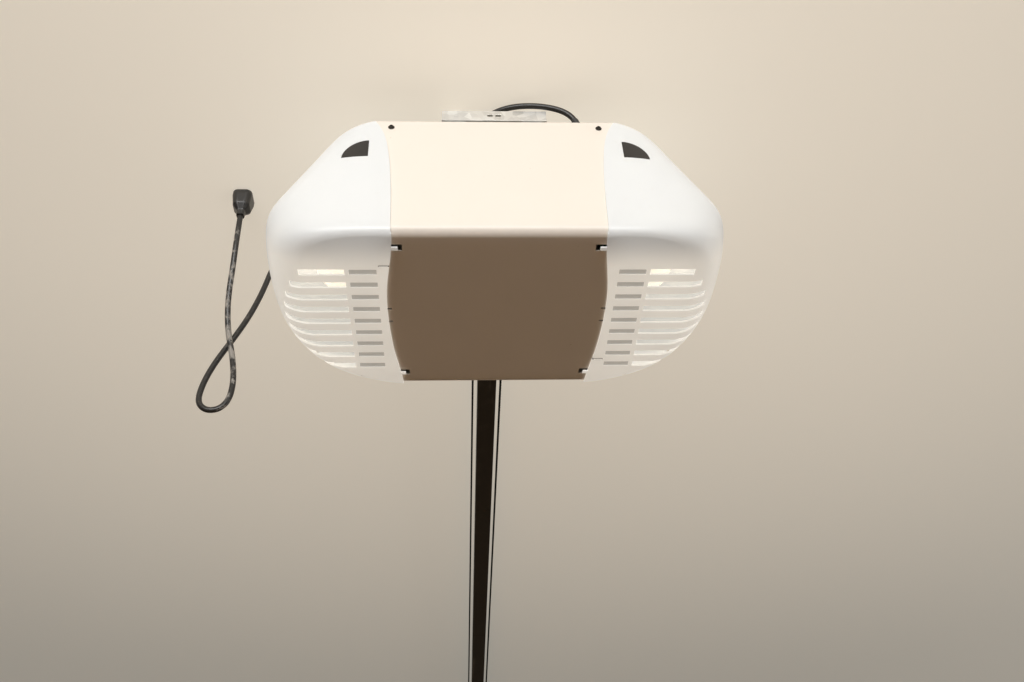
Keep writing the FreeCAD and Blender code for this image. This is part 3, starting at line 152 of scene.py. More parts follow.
class Value:
    """A number socket that takes part in sums."""

    def __init__(self, finish, socket):
        self.finish, self.socket = finish, socket

    def _math(self, operation, *terms):
        node = self.finish.tree.nodes.new("ShaderNodeMath")
        node.operation = operation
        for socket, term in zip(node.inputs, terms):
            self.finish.feed(socket, term)
        return Value(self.finish, node.outputs[0])

    def __add__(self, other):
        return self._math("ADD", self, other)

    def __sub__(self, other):
        return self._math("SUBTRACT", self, other)

    def __mul__(self, other):
        return self._math("MULTIPLY", self, other)

    def __radd__(self, other):
        return self._math("ADD", other, self)

    def __rsub__(self, other):
        return self._math("SUBTRACT", other, self)

    def __rmul__(self, other):
        return self._math("MULTIPLY", other, self)

    def above(self, limit):
        return self._math("GREATER_THAN", self, limit)

    def size(self):
        return self._math("ABSOLUTE", self)

    def clamped(self):
        node = self.finish.tree.nodes.new("ShaderNodeClamp")
        self.finish.feed(node.inputs[0], self)
        return Value(self.finish, node.outputs[0])


class Finish:
    """A material under construction, with its surface shader and a few ready patterns."""

    def __init__(self, name, colour, roughness, metallic=0.0, **constants):
        self.material = bpy.data.materials.new(name)
        self.material.use_nodes = True
        self.material.diffuse_color = (*colour, 1.0)
        self.tree = self.material.node_tree
        self.tree.nodes.clear()
        output = self.tree.nodes.new("ShaderNodeOutputMaterial")
        self.shader = self.tree.nodes.new("ShaderNodeBsdfPrincipled")
        self.tree.links.new(self.shader.outputs[0], output.inputs[0])
        self.set("Base Color", (*colour, 1.0))
        self.set("Roughness", roughness)
        self.set("Metallic", metallic)
        for socket, value in constants.items():
            self.set(socket.replace("_", " "), value)
        self.place = self.node("ShaderNodeTexCoord", out="Object")

    def feed(self, socket, value):
        if isinstance(value, Value):
            self.tree.links.new(value.socket, socket)
        elif value is not None:
            socket.default_value = value

    def set(self, socket, value):
        self.feed(self.shader.inputs[socket], value)
        return self

    def node(self, kind, settings=None, out=0, **inputs):
        """Any other node: its settings first, then the values or links of its sockets."""
        node = self.tree.nodes.new(kind)
        for key, value in (settings or {}).items():
            setattr(node, key, value)
        for key, value in inputs.items():
            self.feed(node.inputs[key.replace("_", " ")], value)
        return Value(self, node.outputs[out])

    def stretched(self, scale, turn=(0.0, 0.0, 0.0), at=(0.0, 0.0, 0.0)):
        return self.node("ShaderNodeMapping", Vector=self.place, Scale=scale, Rotation=turn, Location=at)

    def sides(self):
        """The object coordinates, one number each."""
        split = self.tree.nodes.new("ShaderNodeSeparateXYZ")
        self.feed(split.inputs[0], self.place)
        return [Value(self, socket) for socket in split.outputs]

    def noise(self, scale, detail=3.0, roughness=0.5, over=None):
        over = self.place if over is None else over
        return self.node("ShaderNodeTexNoise", Vector=over, Scale=scale, Detail=detail, Roughness=roughness)

    def cells(self, scale, feature="F1", over=None, out="Distance"):
        over = self.place if over is None else over
        return self.node("ShaderNodeTexVoronoi", {"feature": feature}, out=out, Vector=over, Scale=scale)

    def band(self, value, low, high):
        """Nought below low, one above high, and smooth between."""
        return self.node(
            "ShaderNodeMapRange",
            {"interpolation_type": "SMOOTHSTEP"},
            Value=value,
            **{"From Min": low, "From Max": high},
        )

    def mixed(self, share, first, second):
        node = self.tree.nodes.new("ShaderNodeMix")
        node.data_type = "RGBA"
        self.feed(node.inputs[0], share)
        for socket, shade in ((node.inputs[6], first), (node.inputs[7], second)):
            self.feed(socket, (*shade, 1.0) if isinstance(shade, tuple) else shade)
        return Value(self, node.outputs[2])

    def bumped(self, height, strength, distance):
        return self.set(
            "Normal",
            self.node("ShaderNodeBump", Height=height, Strength=strength, Distance=distance),
        )

    def done(self):
        return self.material


# ---------------------------------------------------------------- finishes

TAN = (0.76, 0.705, 0.64)


def powder_coat():
    """Cream powder coat: orange peel, faint drift of tone, a little dust and a few small specks."""
    paint = Finish("cream_powder_coat", TAN, 0.42, Coat_Weight=0.12, Coat_Roughness=0.3)
    peel = paint.noise(900.0, 2.0)
    drift = paint.noise(7.0, 3.0)
    specks = paint.band(paint.noise(210.0, 2.0), 0.76, 0.80)
    tone = paint.mixed(drift, (0.745, 0.69, 0.625), (0.775, 0.72, 0.655))
    paint.set("Base Color", paint.mixed(specks * 0.35, tone, (0.42, 0.34, 0.25)))
    paint.set("Roughness", 0.36 + drift * 0.12 + specks * 0.1)
    return paint.bumped(peel, 0.16, 0.0006).done()


def galvanised(name, tone, roughness, spangle=95.0):
    """Zinc coat with crystal spangles and dull patches."""
    zinc = Finish(name, tone, roughness, 0.92)
    crystals = zinc.cells(spangle, out="Color")
    grey = zinc.node("ShaderNodeRGBToBW", Color=crystals)
    dull = zinc.band(zinc.noise(22.0, 4.0), 0.45, 0.72)
    low, high = tuple(c * 0.80 for c in tone), tuple(min(1.0, c * 1.12) for c in tone)
    shade = zinc.mixed(grey, low, high)
    zinc.set("Base Color", zinc.mixed(dull * 0.35, shade, (0.42, 0.42, 0.40)))
    zinc.set("Roughness", roughness + grey * 0.14 + dull * 0.15)
    zinc.set("Metallic", 0.70 - dull * 0.25)
    return zinc.bumped(zinc.noise(260.0, 3.0), 0.10, 0.0005).done()


def black_paint():
    """Satin black paint on the rail, rubbed grey where the carriage and hands have passed."""
    paint = Finish("satin_black_paint", (0.022, 0.022, 0.023), 0.38)
    streaks = paint.noise(34.0, 5.0, 0.65, paint.stretched((1.0, 0.07, 1.0)))
    patches = paint.noise(9.0, 3.0, 0.5, paint.stretched((1.0, 0.5, 1.0)))
    worn = (paint.band(streaks, 0.56, 0.70) * paint.band(patches, 0.42, 0.62)).clamped()
    dust = paint.band(paint.noise(60.0, 4.0), 0.5, 0.8)
    shade = paint.mixed(dust * 0.35, (0.026, 0.026, 0.026), (0.095, 0.090, 0.080))
    paint.set("Base Color", paint.mixed(worn * 0.75, shade, (0.20, 0.19, 0.175)))
    paint.set("Roughness", 0.34 + dust * 0.2 + worn * 0.15)
    return paint.bumped(paint.noise(500.0, 2.0), 0.10, 0.0005).done()


# Floor of the blind vents, where painted shade goes: from and to along Z, along X either side, and how far
# along Y.
VENT_FLOOR_Z, VENT_FLOOR_X, VENT_FLOOR_Y = (-0.2622, -0.2607), (0.1435, 0.1785), 0.124
# Border slits: place along Y, half width, reach along X, and the lens's inner face along Z.
SLIT_Y, SLIT_HALF, SLIT_X, SLIT_ROOF = 0.087, 0.0010, 0.1425, -0.2596
# Where the lens is given painted glow, standing in for lamp light through it: from and to going down, and
# from and to along Y.
GLOW_Z, GLOW_Y = (0.205, 0.256), (-0.135, -0.080)


def milky_plastic():
    """Translucent white lens moulding: painted glow below, blind vent floors painted grey as shade, dark
    border slits.
    """
    lens = Finish(
        "milky_lens_plastic",
        (0.60, 0.615, 0.625),
        0.34,
        Emission_Strength=1.0,
        Subsurface_Weight=0.35,
        Subsurface_Radius=(1.0, 1.0, 1.0),
        Subsurface_Scale=0.004,
        IOR=1.49,
    )
    x, y, z = lens.sides()
    cloud = lens.noise(9.0, 4.0)
    dust = lens.band(lens.noise(130.0, 4.0), 0.60, 0.80)
    patches = lens.noise(14.0, 2.0)
    below = lens.band(0.0 - z, *GLOW_Z) * lens.band(y, *GLOW_Y)
    deep, shallow = VENT_FLOOR_Z
    near, far = VENT_FLOOR_X
    # Painted shade: the floors of the blind vents are painted grey and given less glow, as shade in the
    # recesses.
    vent_shade = lens.band(z, deep, deep + 0.0003) * lens.band(0.0 - z, -shallow, 0.0004 - shallow)
    vent_shade = vent_shade * lens.band(x.size(), near, near + 0.001) * lens.band(0.0 - x.size(), -far, 0.001 - far)
    vent_shade = vent_shade * lens.band(0.0 - y.size(), -VENT_FLOOR_Y, 0.004 - VENT_FLOOR_Y)
    slit = lens.band(0.0 - (y.size() - SLIT_Y).size(), -SLIT_HALF, 0.0001 - SLIT_HALF)
    slit = slit * lens.band(0.0 - x.size(), -SLIT_X, 0.0007 - SLIT_X)
    slit = slit * (x * y).above(0.0) * lens.band(0.0 - z, -SLIT_ROOF, 0.0004 - SLIT_ROOF)
    tone = lens.mixed(cloud, (0.585, 0.605, 0.62), (0.63, 0.64, 0.64))
    tone = lens.mixed(dust * 0.10, tone, (0.50, 0.46, 0.40))
    tone = lens.mixed(vent_shade * 0.45, tone, (0.30, 0.295, 0.28))
    lens.set("Base Color", lens.mixed(slit, tone, (0.015, 0.014, 0.013)))
    # Painted light: the emission colour makes the lens glow, most low down and least towards the rear bend,
    # though it is no lamp.
    glow = lens.mixed(below * (0.72 + patches * 0.4), (0.17, 0.172, 0.17), (0.50, 0.465, 0.41))
    glow = lens.mixed(vent_shade * 0.72, glow, (0.10, 0.10, 0.095))
    lens.set("Emission Color", lens.mixed(slit, glow, (0.0, 0.0, 0.0)))
    lens.set("Roughness", 0.30 + cloud * 0.10 + dust * 0.15)
    lens.set("Alpha", 0.90 + cloud * 0.05)
    return lens.bumped(lens.noise(1400.0, 2.0), 0.07, 0.0003).done()


def moulded(name, colour, roughness, grain=900.0, depth=0.12):
    """Moulded plastic: fine grain, faint flow marks."""
    part = Finish(name, colour, roughness)
    flow = part.noise(26.0, 3.0, 0.5, part.stretched((1.0, 0.4, 1.0)))
    low, high = tuple(c * 0.88 for c in colour), tuple(min(1.0, c * 1.10 + 0.003) for c in colour)
    part.set("Base Color", part.mixed(flow, low, high))
    part.set("Roughness", roughness - 0.05 + flow * 0.12)
    return part.bumped(part.noise(grain, 2.0), depth, 0.0004).done()


def belt_rubber():
    """Black belt with a fibre-backed sheen and pale rub marks."""
    rubber = Finish("belt_rubber", (0.03, 0.03, 0.03), 0.6)
    cords = rubber.node(
        "ShaderNodeTexWave", {"bands_direction": "Z"}, Vector=rubber.place, Scale=420.0, Distortion=0.4
    )
    rub = rubber.band(rubber.noise(40.0, 4.0, 0.6, rubber.stretched((1.0, 0.1, 1.0))), 0.5, 0.8)
    rubber.set("Base Color", rubber.mixed(rub * 0.4, (0.022, 0.022, 0.022), (0.10, 0.098, 0.094)))
    rubber.set("Roughness", 0.55 + rub * 0.2)
    return rubber.bumped(cords, 0.12, 0.0004).done()


def lead_jacket():
    """Black lead jacket, with pale overspray from the ceiling on the stretch that rises to the outlet."""
    jacket = Finish("lead_jacket", (0.025, 0.024, 0.023), 0.42)
    x, y, z = jacket.sides()
    upper = jacket.band(0.0 - y, -0.1015, -0.0975) * jacket.band(z, -0.262, -0.240)
    lower = jacket.band(x, -0.362, -0.352) * jacket.band(0.0 - z, 0.240, 0.262)
    rising = (upper + lower).clamped() * jacket.band(0.0 - x, 0.325, 0.335) * jacket.band(0.0 - z, 0.05, 0.08)
    blotches = jacket.band(jacket.noise(62.0, 5.0, 0.62), 0.47, 0.60)
    spray = (rising * blotches).clamped()
    scuff = jacket.band(jacket.noise(120.0, 4.0), 0.6, 0.8)
    shade = jacket.mixed(scuff * 0.3, (0.020, 0.019, 0.018), (0.085, 0.080, 0.074))
    jacket.set("Base Color", jacket.mixed(spray * 0.6, shade, (0.45, 0.42, 0.38)))
    jacket.set("Roughness", 0.36 + spray * 0.3 + scuff * 0.15)
    return jacket.bumped(jacket.noise(700.0, 2.0), 0.10, 0.0004).done()


def frosted_glass():
    glass = Finish(
        "frosted_bulb_glass", (0.95, 0.94, 0.90), 0.5, Subsurface_Weight=0.3, Subsurface_Scale=0.01
    )
    mist = glass.noise(30.0, 3.0)
    glass.set("Base Color", glass.mixed(mist, (0.93, 0.92, 0.87), (0.97, 0.96, 0.93)))
    glass.set("Emission Color", (1.0, 0.86, 0.66, 1.0))
    glass.set("Emission Strength", 0.5)
    glass.set("Roughness", 0.42 + mist * 0.12)
    return glass.done()


def turned_metal(name, colour, roughness, axis="Y", rings=900.0):
    """Turned or drawn metal: fine tool marks square to its axis."""
    metal = Finish(name, colour, roughness, 1.0)
    marks = metal.node(
        "ShaderNodeTexWave", {"bands_direction": axis}, Vector=metal.place, Scale=rings, Distortion=1.2
    )
    stain = metal.band(metal.noise(45.0, 4.0), 0.5, 0.75)
    low = tuple(c * 0.72 for c in colour)
    metal.set("Base Color", metal.mixed(stain * 0.5, colour, low))
    metal.set("Roughness", roughness + stain * 0.18)
    return metal.bumped(marks, 0.08, 0.0003).done()


def laminations():
    """Stacked steel laminations, one thin band after another along Y, lightly rusted."""
    stack = Finish("stator_laminations", (0.25, 0.25, 0.26), 0.5, 0.8)
    sheets = stack.node(
        "ShaderNodeTexWave", {"bands_direction": "Y"}, Vector=stack.place, Scale=310.0, Distortion=0.0
    )
    rust = stack.band(stack.noise(35.0, 5.0, 0.6), 0.55, 0.78)
    shade = stack.mixed(sheets, (0.15, 0.15, 0.16), (0.33, 0.33, 0.34))
    stack.set("Base Color", stack.mixed(rust * 0.6, shade, (0.26, 0.13, 0.07)))
    stack.set("Metallic", 0.85 - rust * 0.6)
    stack.set("Roughness", 0.42 + rust * 0.3)
    return stack.bumped(sheets, 0.4, 0.0006).done()


def copper_windings():
    """Enamelled copper wire, wound in fine turns."""
    wire = Finish("copper_windings", (0.62, 0.27, 0.13), 0.3, 0.9)
    turns = wire.node(
        "ShaderNodeTexWave", {"bands_direction": "DIAGONAL"}, Vector=wire.place, Scale=330.0, Distortion=2.0
    )
    wire.set("Base Color", wire.mixed(turns, (0.30, 0.11, 0.05), (0.72, 0.34, 0.17)))
    return wire.bumped(turns, 0.5, 0.0008).done()


def circuit_board():
    """Green solder mask, darker where it covers bare board between the tracks."""
    board = Finish("circuit_board", (0.03, 0.16, 0.07), 0.35)
    tracks = board.band(board.cells(140.0, "DISTANCE_TO_EDGE"), 0.06, 0.09)
    board.set("Base Color", board.mixed(tracks, (0.06, 0.26, 0.12), (0.02, 0.13, 0.055)))
    board.set("Roughness", 0.30 + tracks * 0.1)
    return board.bumped(1.0 - tracks, 0.2, 0.0003).done()


FINISHES = {
    "cover_steel": powder_coat(),
    "chassis_steel": galvanised("plated_chassis_steel", (0.60, 0.60, 0.58), 0.40, 60.0),
    "zinc": galvanised("galvanised_steel", (0.78, 0.78, 0.76), 0.34),
    "black_steel": black_paint(),
    "lens_plastic": milky_plastic(),
    "white_plastic": moulded("white_moulding", (0.78, 0.77, 0.73), 0.42),
    "black_plastic": moulded("black_moulding", (0.028, 0.028, 0.029), 0.45),
    "dark_latch": moulded("smoke_black_latch", (0.016, 0.015, 0.015), 0.22, 1400.0, 0.05),
    "bulb_glass": frosted_glass(),
    "brass": turned_metal("brass", (0.72, 0.54, 0.26), 0.28, "X", 700.0),
    "belt_rubber": belt_rubber(),
    "lead_rubber": lead_jacket(),
    "gear_nylon": moulded("natural_nylon", (0.76, 0.73, 0.64), 0.38),
    "shaft_steel": turned_metal("turned_steel", (0.56, 0.56, 0.56), 0.24),
    "stator_iron": laminations(),
    "copper": copper_windings(),
    "board": circuit_board(),
    "capacitor_can": turned_metal("drawn_aluminium", (0.74, 0.74, 0.75), 0.30, "Y", 500.0),
    "learn_purple": moulded("purple_button", (0.25, 0.07, 0.36), 0.30),
}
DARK_SCREW = turned_metal("blackened_screw", (0.06, 0.055, 0.05), 0.42, "Y", 900.0)


# ---------------------------------------------------------------- pieces


def show(name, mesh, body, slot, finish=None, replaces=()):
    """Puts a finished mesh in the scene, on its body, in place of the CAD nodes that it stands for."""
    piece = bpy.data.objects.new(name, mesh)
    bpy.context.scene.collection.objects.link(piece)
    mesh.materials.clear()
    mesh.materials.append(finish or FINISHES[slot])
    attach(piece, body)
    if replaces:
        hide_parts(*replaces)
    return piece


def smooth_where_flat(mesh, angle):
    """Smooth shading, with edges kept sharp where the surface turns by more than an angle."""
    work = bmesh.new()
    work.from_mesh(mesh)
    bmesh.ops.remove_doubles(work, verts=work.verts, dist=2e-6)
    bmesh.ops.dissolve_degenerate(work, edges=work.edges, dist=1e-7)
    for face in work.faces:
        face.smooth = True
    limit = math.radians(angle)
    for edge in work.edges:
        edge.smooth = not (len(edge.link_faces) != 2 or edge.calc_face_angle(0.0) > limit)
    work.to_mesh(mesh)
    work.free()


def refined(node, bevel=0.0, angle=32.0, finish=None):
    """A welded copy of a CAD node with clean shading and, where wanted, its sharp edges eased."""
    mesh = frame["nodes"][node].data.copy()
    for layer in list(mesh.attributes):
        if layer.name == "custom_normal":
            mesh.attributes.remove(layer)
    smooth_where_flat(mesh, angle)
    piece = show(f"{node}_finished", mesh, BODY_OF[node], SLOT_OF[node], finish, [node])
    if bevel:
        ease = piece.modifiers.new("ease", "BEVEL")
        ease.width, ease.segments = bevel, 2
        ease.limit_method, ease.angle_limit = "ANGLE", math.radians(50)
        ease.harden_normals = True
        ease.use_clamp_overlap = True
    return piece


EASED = {
    "chassis": 0.0003, "rear_hanger_angle": 0.0004, "front_hanger_angle": 0.0004, "hanger_spacers": 0.0003,
    "hanger_fasteners": 0.0003, "rail_sections": 0.0008, "rail_bracket": 0.0004, "rail_bracket_bolts": 0.0003,
    "gear_bracket": 0.0004, "sprocket_cover": 0.0008, "motor_mount": 0.0003, "motor_stator": 0.0004,
    "motor_end_bells": 0.0004, "transformer": 0.0006, "capacitor": 0.0008, "capacitor_clamp": 0.0003,
    "logic_board": 0.0002, "control_plate": 0.0004, "up_force_dial": 0.0004,
    "down_force_dial": 0.0004, "terminal_block": 0.0005, "plug": 0.0006, "plug_pins": 0.0003,
    "idler_bracket": 0.0005, "idler_pulley": 0.0003, "header_bracket": 0.0005, "header_pin": 0.0004,
    "trolley": 0.0008, "trolley_pins": 0.0004, "release_lever": 0.0005, "straight_arm": 0.0005,
    "bent_arm": 0.0005, "arm_fasteners": 0.0003, "lamp_sockets": 0.0004, "lead_gland": 0.0005,
    "left_rear_latch": 0.0006, "right_rear_latch": 0.0006,
    "left_door_latch": 0.0006, "right_door_latch": 0.0006,
}
PLAIN = [
    "cover", "side_panels", "lamp_caps", "bulbs", "left_lens", "right_lens", "rail_sleeves", "belt",
    "sprocket", "drive_shaft", "drive_gear", "shaft_bearings", "worm_bushings", "motor_windings",
    "motor_rotor", "idler_pin", "antenna_wire",
]


# ---------------------------------------------------------------- what repeats


def repeat_tree():
    """Copies of one shape on the points of a mesh, each turned and sized by the point's own attributes."""
    tree = bpy.data.node_groups.new("copies_on_points", "GeometryNodeTree")
    face = tree.interface
    face.new_socket("Geometry", in_out="INPUT", socket_type="NodeSocketGeometry")
    face.new_socket("Shape", in_out="INPUT", socket_type="NodeSocketObject")
    face.new_socket("Size", in_out="INPUT", socket_type="NodeSocketFloat")
    face.new_socket("Finish", in_out="INPUT", socket_type="NodeSocketMaterial")
    face.new_socket("Geometry", in_out="OUTPUT", socket_type="NodeSocketGeometry")
    nodes, link = tree.nodes, tree.links.new
    start, end = nodes.new("NodeGroupInput"), nodes.new("NodeGroupOutput")
    points = nodes.new("GeometryNodeMeshToPoints")
    shape = nodes.new("GeometryNodeObjectInfo")
    turn = nodes.new("GeometryNodeInputNamedAttribute")
    turn.data_type = "FLOAT_VECTOR"
    turn.inputs["Name"].default_value = "turn"
    place = nodes.new("GeometryNodeInstanceOnPoints")
    real = nodes.new("GeometryNodeRealizeInstances")
    paint = nodes.new("GeometryNodeSetMaterial")
    link(start.outputs["Geometry"], points.inputs["Mesh"])
    link(start.outputs["Shape"], shape.inputs["Object"])
    link(points.outputs["Points"], place.inputs["Points"])
    link(shape.outputs["Geometry"], place.inputs["Instance"])
    link(turn.outputs["Attribute"], place.inputs["Rotation"])
    link(start.outputs["Size"], place.inputs["Scale"])
    link(place.outputs["Instances"], real.inputs["Geometry"])
    link(real.outputs["Geometry"], paint.inputs["Geometry"])
    link(start.outputs["Finish"], paint.inputs["Material"])
    link(paint.outputs["Geometry"], end.inputs["Geometry"])
    return tree


COPIES = repeat_tree()


def set_input(modifier, name, value):
    for item in modifier.node_group.interface.items_tree:
        if item.item_type == "SOCKET" and item.in_out == "INPUT" and item.name == name:
            modifier[item.identifier] = value


def copies(name, shape, spots, body, slot, finish=None, size=1.0, replaces=()):
    """One mesh of many copies: each spot is a place and the direction its shape's +Z points in."""
    mesh = bpy.data.meshes.new(name + "_points")
    mesh.from_pydata([at for at, _ in spots], [], [])
    turn = mesh.attributes.new("turn", "FLOAT_VECTOR", "POINT")
    for datum, (_, way) in zip(turn.data, spots):
        datum.vector = Vector(way).to_track_quat("Z", "Y").to_euler()
    holder = bpy.data.objects.new(name + "_holder", mesh)
    pattern = bpy.data.objects.new(name + "_shape", shape)
    for temporary in (holder, pattern):
        bpy.context.scene.collection.objects.link(temporary)
    modifier = holder.modifiers.new("copies", "NODES")
    modifier.node_group = COPIES
    set_input(modifier, "Shape", pattern)
    set_input(modifier, "Size", size)
    set_input(modifier, "Finish", finish or FINISHES[slot])
    graph = bpy.context.evaluated_depsgraph_get()
    made = bpy.data.meshes.new_from_object(holder.evaluated_get(graph))
    for temporary in (holder, pattern):
        bpy.data.objects.remove(temporary)
    smooth_where_flat(made, 35.0)
    return show(name, made, body, slot, finish, replaces)


def lathe(name, profile, sides=32):
    """A closed shape turned about Z from an outline of radius and height that starts and ends on the axis."""
    work = bmesh.new()
    rings = []
    for r, z in profile:
        if r < 1e-7:
            rings.append([work.verts.new((0.0, 0.0, z))])
            continue
        ring = []
        for i in range(sides):
            a = 2 * math.pi * i / sides
            ring.append(work.verts.new((r * math.cos(a), r * math.sin(a), z)))
        rings.append(ring)
    for low, high in zip(rings, rings[1:]):
        for i in range(sides):
            j = (i + 1) % sides
            corners = [low[i % len(low)], low[j % len(low)], high[j % len(high)], high[i % len(high)]]
            unique = list(dict.fromkeys(corners))
            if len(unique) > 2:
                work.faces.new(unique)
    bmesh.ops.recalc_face_normals(work, faces=work.faces)
    mesh = bpy.data.meshes.new(name)
    work.to_mesh(mesh)
    work.free()
    return mesh


def tube(name, line, radii, sides=20):
    """A closed tube whose radius may change along a line of points."""
    work = bmesh.new()
    rings, side = [], None
    for i, at in enumerate(line):
        ahead = (line[min(i + 1, len(line) - 1)] - line[max(i - 1, 0)]).normalized()
        side = ahead.orthogonal() if side is None else side - ahead * side.dot(ahead)
        side.normalize()
        other = ahead.cross(side)
        ring = []
        for k in range(sides):
            a = 2 * math.pi * k / sides
            ring.append(work.verts.new(at + (side * math.cos(a) + other * math.sin(a)) * radii[i]))
        rings.append(ring)
    for low, high in zip(rings, rings[1:]):
        for k in range(sides):
            m = (k + 1) % sides
            work.faces.new((low[k], low[m], high[m], high[k]))
    work.faces.new(list(reversed(rings[0])))
    work.faces.new(rings[-1])
    bmesh.ops.recalc_face_normals(work, faces=work.faces)
    mesh = bpy.data.meshes.new(name)
    work.to_mesh(mesh)
    work.free()
    smooth_where_flat(mesh, 40.0)
    return mesh


def solid_from(name, outline, low, high):
    """A flat outline pushed from low to high along Z, with outward faces."""
    work = bmesh.new()
    base = [work.verts.new((a, b, low)) for a, b in outline]
    roof = [work.verts.new((a, b, high)) for a, b in outline]
    work.faces.new(base)
    work.faces.new(roof)
    for i in range(len(base)):
        j = (i + 1) % len(base)
        work.faces.new((base[i], base[j], roof[j], roof[i]))
    bmesh.ops.recalc_face_normals(work, faces=work.faces)
    mesh = bpy.data.meshes.new(name)
    work.to_mesh(mesh)
    work.free()
    return mesh


def short_button():
    """The learn button, its hidden inner end a hair short of the panel when it is pushed in."""
    button = refined("learn_button", 0.0005)
    inner = min(v.co.x for v in button.data.vertices)
    for v in button.data.vertices:
        if v.co.x < inner + 1e-5:
            v.co.x += 0.0002


BELT_PITCH, TOOTH_HEIGHT, TOOTH_FOOT, TOOTH_CREST = 0.008, 0.0030, 0.0052, 0.0034


def belt_teeth():
    """Moulded teeth along both straight runs of the belt.

    They stand outward here; on a real belt they face inward, to the pulleys.
    """
    low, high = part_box("belt")
    start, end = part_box("sprocket"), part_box("idler_pulley")
    y0 = (start[0].y + start[1].y) / 2
    y1 = (end[0].y + end[1].y) / 2
    inside = high.x - 0.0024
    width = high.z - low.z
    outline = [
        (-TOOTH_FOOT / 2, 0.0002), (-TOOTH_CREST / 2, -TOOTH_HEIGHT),
        (TOOTH_CREST / 2, -TOOTH_HEIGHT), (TOOTH_FOOT / 2, 0.0002),
    ]
    tooth = solid_from("belt_tooth", [(b, a) for a, b in outline], -width / 2, width / 2)
    middle = (low.z + high.z) / 2
    count = int((y1 - y0) / BELT_PITCH) - 1
    for side, name in ((1, "right"), (-1, "left")):
        shape = tooth.copy()
        if side < 0:
            shape.transform(Matrix.Rotation(math.pi, 4, "Z"))
        spots = [
            ((inside * side, y0 + BELT_PITCH * (i + 1), middle), (0, 0, 1)) for i in range(count)
        ]
        copies(f"belt_teeth_{name}", shape, spots, "housing", "belt_rubber")


def screw_head(r, height, recess):
    """A domed washer head with a round recess, pointing along +Z."""
    dome = [
        (0.0, -0.0004), (r * 1.28, -0.0004), (r * 1.30, 0.0004), (r * 1.02, 0.0007),
        (r * 0.98, height * 0.55), (r * 0.80, height * 0.86), (r * 0.45, height), (recess, height),
        (recess * 0.86, height * 0.45), (0.0, height * 0.40),
    ]
    return lathe("screw_head", dome, 36)


def cover_screws():
    low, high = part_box("cover_screws")
    r = (high.z - low.z) / 2
    x, z = high.x - r, (low.z + high.z) / 2
    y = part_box("cover")[1].y
    spots = []
    for sx in (-1, 1):
        for sy in (-1, 1):
            spots.append(((x * sx, y * sy, z), (0, sy, 0)))
    copies("cover_screw_heads", screw_head(r * 0.74, 0.0027, r * 0.3), spots, "housing", "zinc", DARK_SCREW,
           replaces=["cover_screws"])


def power_lead():
    LEAD.data.materials.append(FINISHES["lead_rubber"])
    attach(LEAD, "housing")
    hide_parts("power_lead")
    plug = refined("plug", 0.0006)
    pins = refined("plug_pins", 0.0003)
    gland = [p for p in LEAD_LINE if -0.0585 < p.z < -0.030 and p.x > 0.1]
    radii = []
    for i in range(len(gland)):
        share = i / (len(gland) - 1)
        rib = 0.0004 if i % 2 else 0.0
        radii.append(0.0062 - 0.0017 * share - rib)
    relief = show("lead_strain_relief", tube("strain_relief", gland, radii), "housing", "black_plastic")


def bulb_threads():
    """Raised screw thread round each lamp cap."""
    low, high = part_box("lamp_caps")
    r = (high.z - low.z) / 2
    z, y = (low.z + high.z) / 2, (low.y + high.y) / 2
    line = []
    for i in range(5 * 24 + 1):
        a = 2 * math.pi * i / 24
        line.append(Vector((0.006 + 0.0036 * i / 24, r * math.cos(a), r * math.sin(a))))
    for side, name in ((1, "right"), (-1, "left")):
        inner = high.x - 0.026 if side > 0 else low.x + 0.026
        points = [Vector((inner + p.x * side, y + p.y, z + p.z)) for p in line]
        show(f"{name}_lamp_thread", tube("thread", points, [0.0005] * len(points), 8), "housing", "brass")


# ---------------------------------------------------------------- stage


BRIGHT_SPOT = (0.05, -0.45, 0.0)


def flat_sheet(name, half, z, up):
    mesh = bpy.data.meshes.new(name)
    corners = [(-half, -half, z), (half, -half, z), (half, half, z), (-half, half, z)]
    mesh.from_pydata(corners, [], [(0, 1, 2, 3) if up else (3, 2, 1, 0)])
    piece = bpy.data.objects.new(name, mesh)
    bpy.context.scene.collection.objects.link(piece)
    return piece


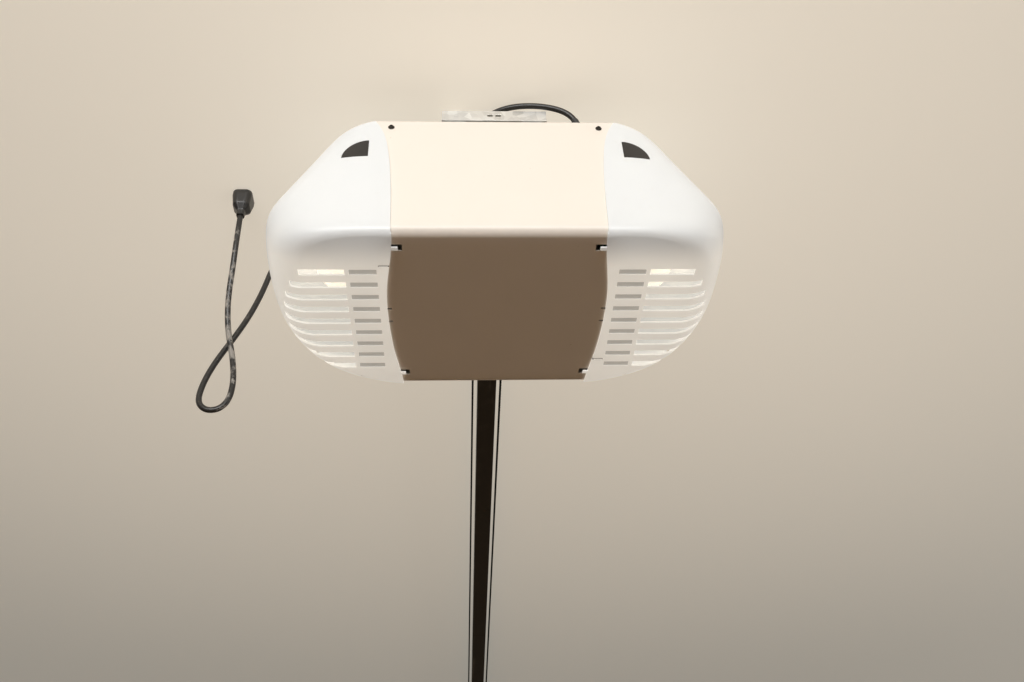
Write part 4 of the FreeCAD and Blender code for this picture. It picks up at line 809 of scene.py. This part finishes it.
def ceiling():
    """Pale ceiling that glows softly downwards, most above the near end, and is clear from above."""
    paint = Finish("ceiling_paint", (0.55, 0.52, 0.47), 0.9)
    away = paint.node("ShaderNodeVectorMath", {"operation": "DISTANCE"}, out="Value")
    tree = paint.tree
    measure = away.socket.node
    tree.links.new(paint.place.socket, measure.inputs[0])
    measure.inputs[1].default_value = BRIGHT_SPOT
    fade = paint.band(away, 0.1, 2.6)
    paint.set("Emission Color", paint.mixed(fade, (0.55, 0.50, 0.42), (0.225, 0.225, 0.205)))
    paint.set("Emission Strength", 1.0)
    output = next(n for n in tree.nodes if n.type == "OUTPUT_MATERIAL")
    behind = tree.nodes.new("ShaderNodeNewGeometry")
    clear = tree.nodes.new("ShaderNodeBsdfTransparent")
    pick = tree.nodes.new("ShaderNodeMixShader")
    tree.links.new(behind.outputs["Backfacing"], pick.inputs[0])
    tree.links.new(paint.shader.outputs[0], pick.inputs[1])
    tree.links.new(clear.outputs[0], pick.inputs[2])
    tree.links.new(pick.outputs[0], output.inputs[0])
    flat_sheet("ceiling", 9.0, 0.0006, False).data.materials.append(paint.done())


def floor():
    paint = Finish("floor_paint", (0.31, 0.205, 0.118), 0.8)
    flat_sheet("floor", 9.0, -2.6, True).data.materials.append(paint.done())


def lamp_light(name, at, size, energy, colour, towards=None, kind="AREA"):
    data = bpy.data.lights.new(name, kind)
    data.energy, data.color = energy, colour
    if kind == "AREA":
        data.shape, data.size, data.size_y = "RECTANGLE", size[0], size[1]
    else:
        data.shadow_soft_size = size[0]
    light = bpy.data.objects.new(name, data)
    light.location = at
    if towards is not None:
        light.rotation_mode = "QUATERNION"
        light.rotation_quaternion = (Vector(towards) - Vector(at)).to_track_quat("-Z", "Y")
    bpy.context.scene.collection.objects.link(light)


def lights():
    lamp_light("window", (-0.3, -2.6, -0.32), (2.4, 0.5), 66.0, (1.0, 0.995, 0.985), (0, 0, -0.16))
    lamp_light("side_fill", (2.8, 0.8, -0.9), (1.5, 1.0), 8.0, (1.0, 0.97, 0.93), (0, 0.3, -0.15))
    low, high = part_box("bulbs")
    z = (low.z + high.z) / 2
    for x in (low.x, high.x):
        lamp_light("lens_glow", (x * 0.98, 0.0, z + 0.045), (0.03,), 0.22, (1.0, 0.86, 0.68), kind="POINT")
    world = bpy.data.worlds.new("studio")
    world.use_nodes = True
    back = world.node_tree.nodes["Background"]
    back.inputs["Color"].default_value = (0.80, 0.75, 0.68, 1.0)
    back.inputs["Strength"].default_value = 0.05
    bpy.context.scene.world = world
    bpy.context.scene.view_settings.view_transform = "Standard"


# ---------------------------------------------------------------- assembly

power_lead()
for node_name, width in EASED.items():
    if node_name not in ("plug", "plug_pins"):
        refined(node_name, width)
for node_name in PLAIN:
    refined(node_name)
short_button()
cover_screws()
belt_teeth()
bulb_threads()
ceiling()
floor()
lights()
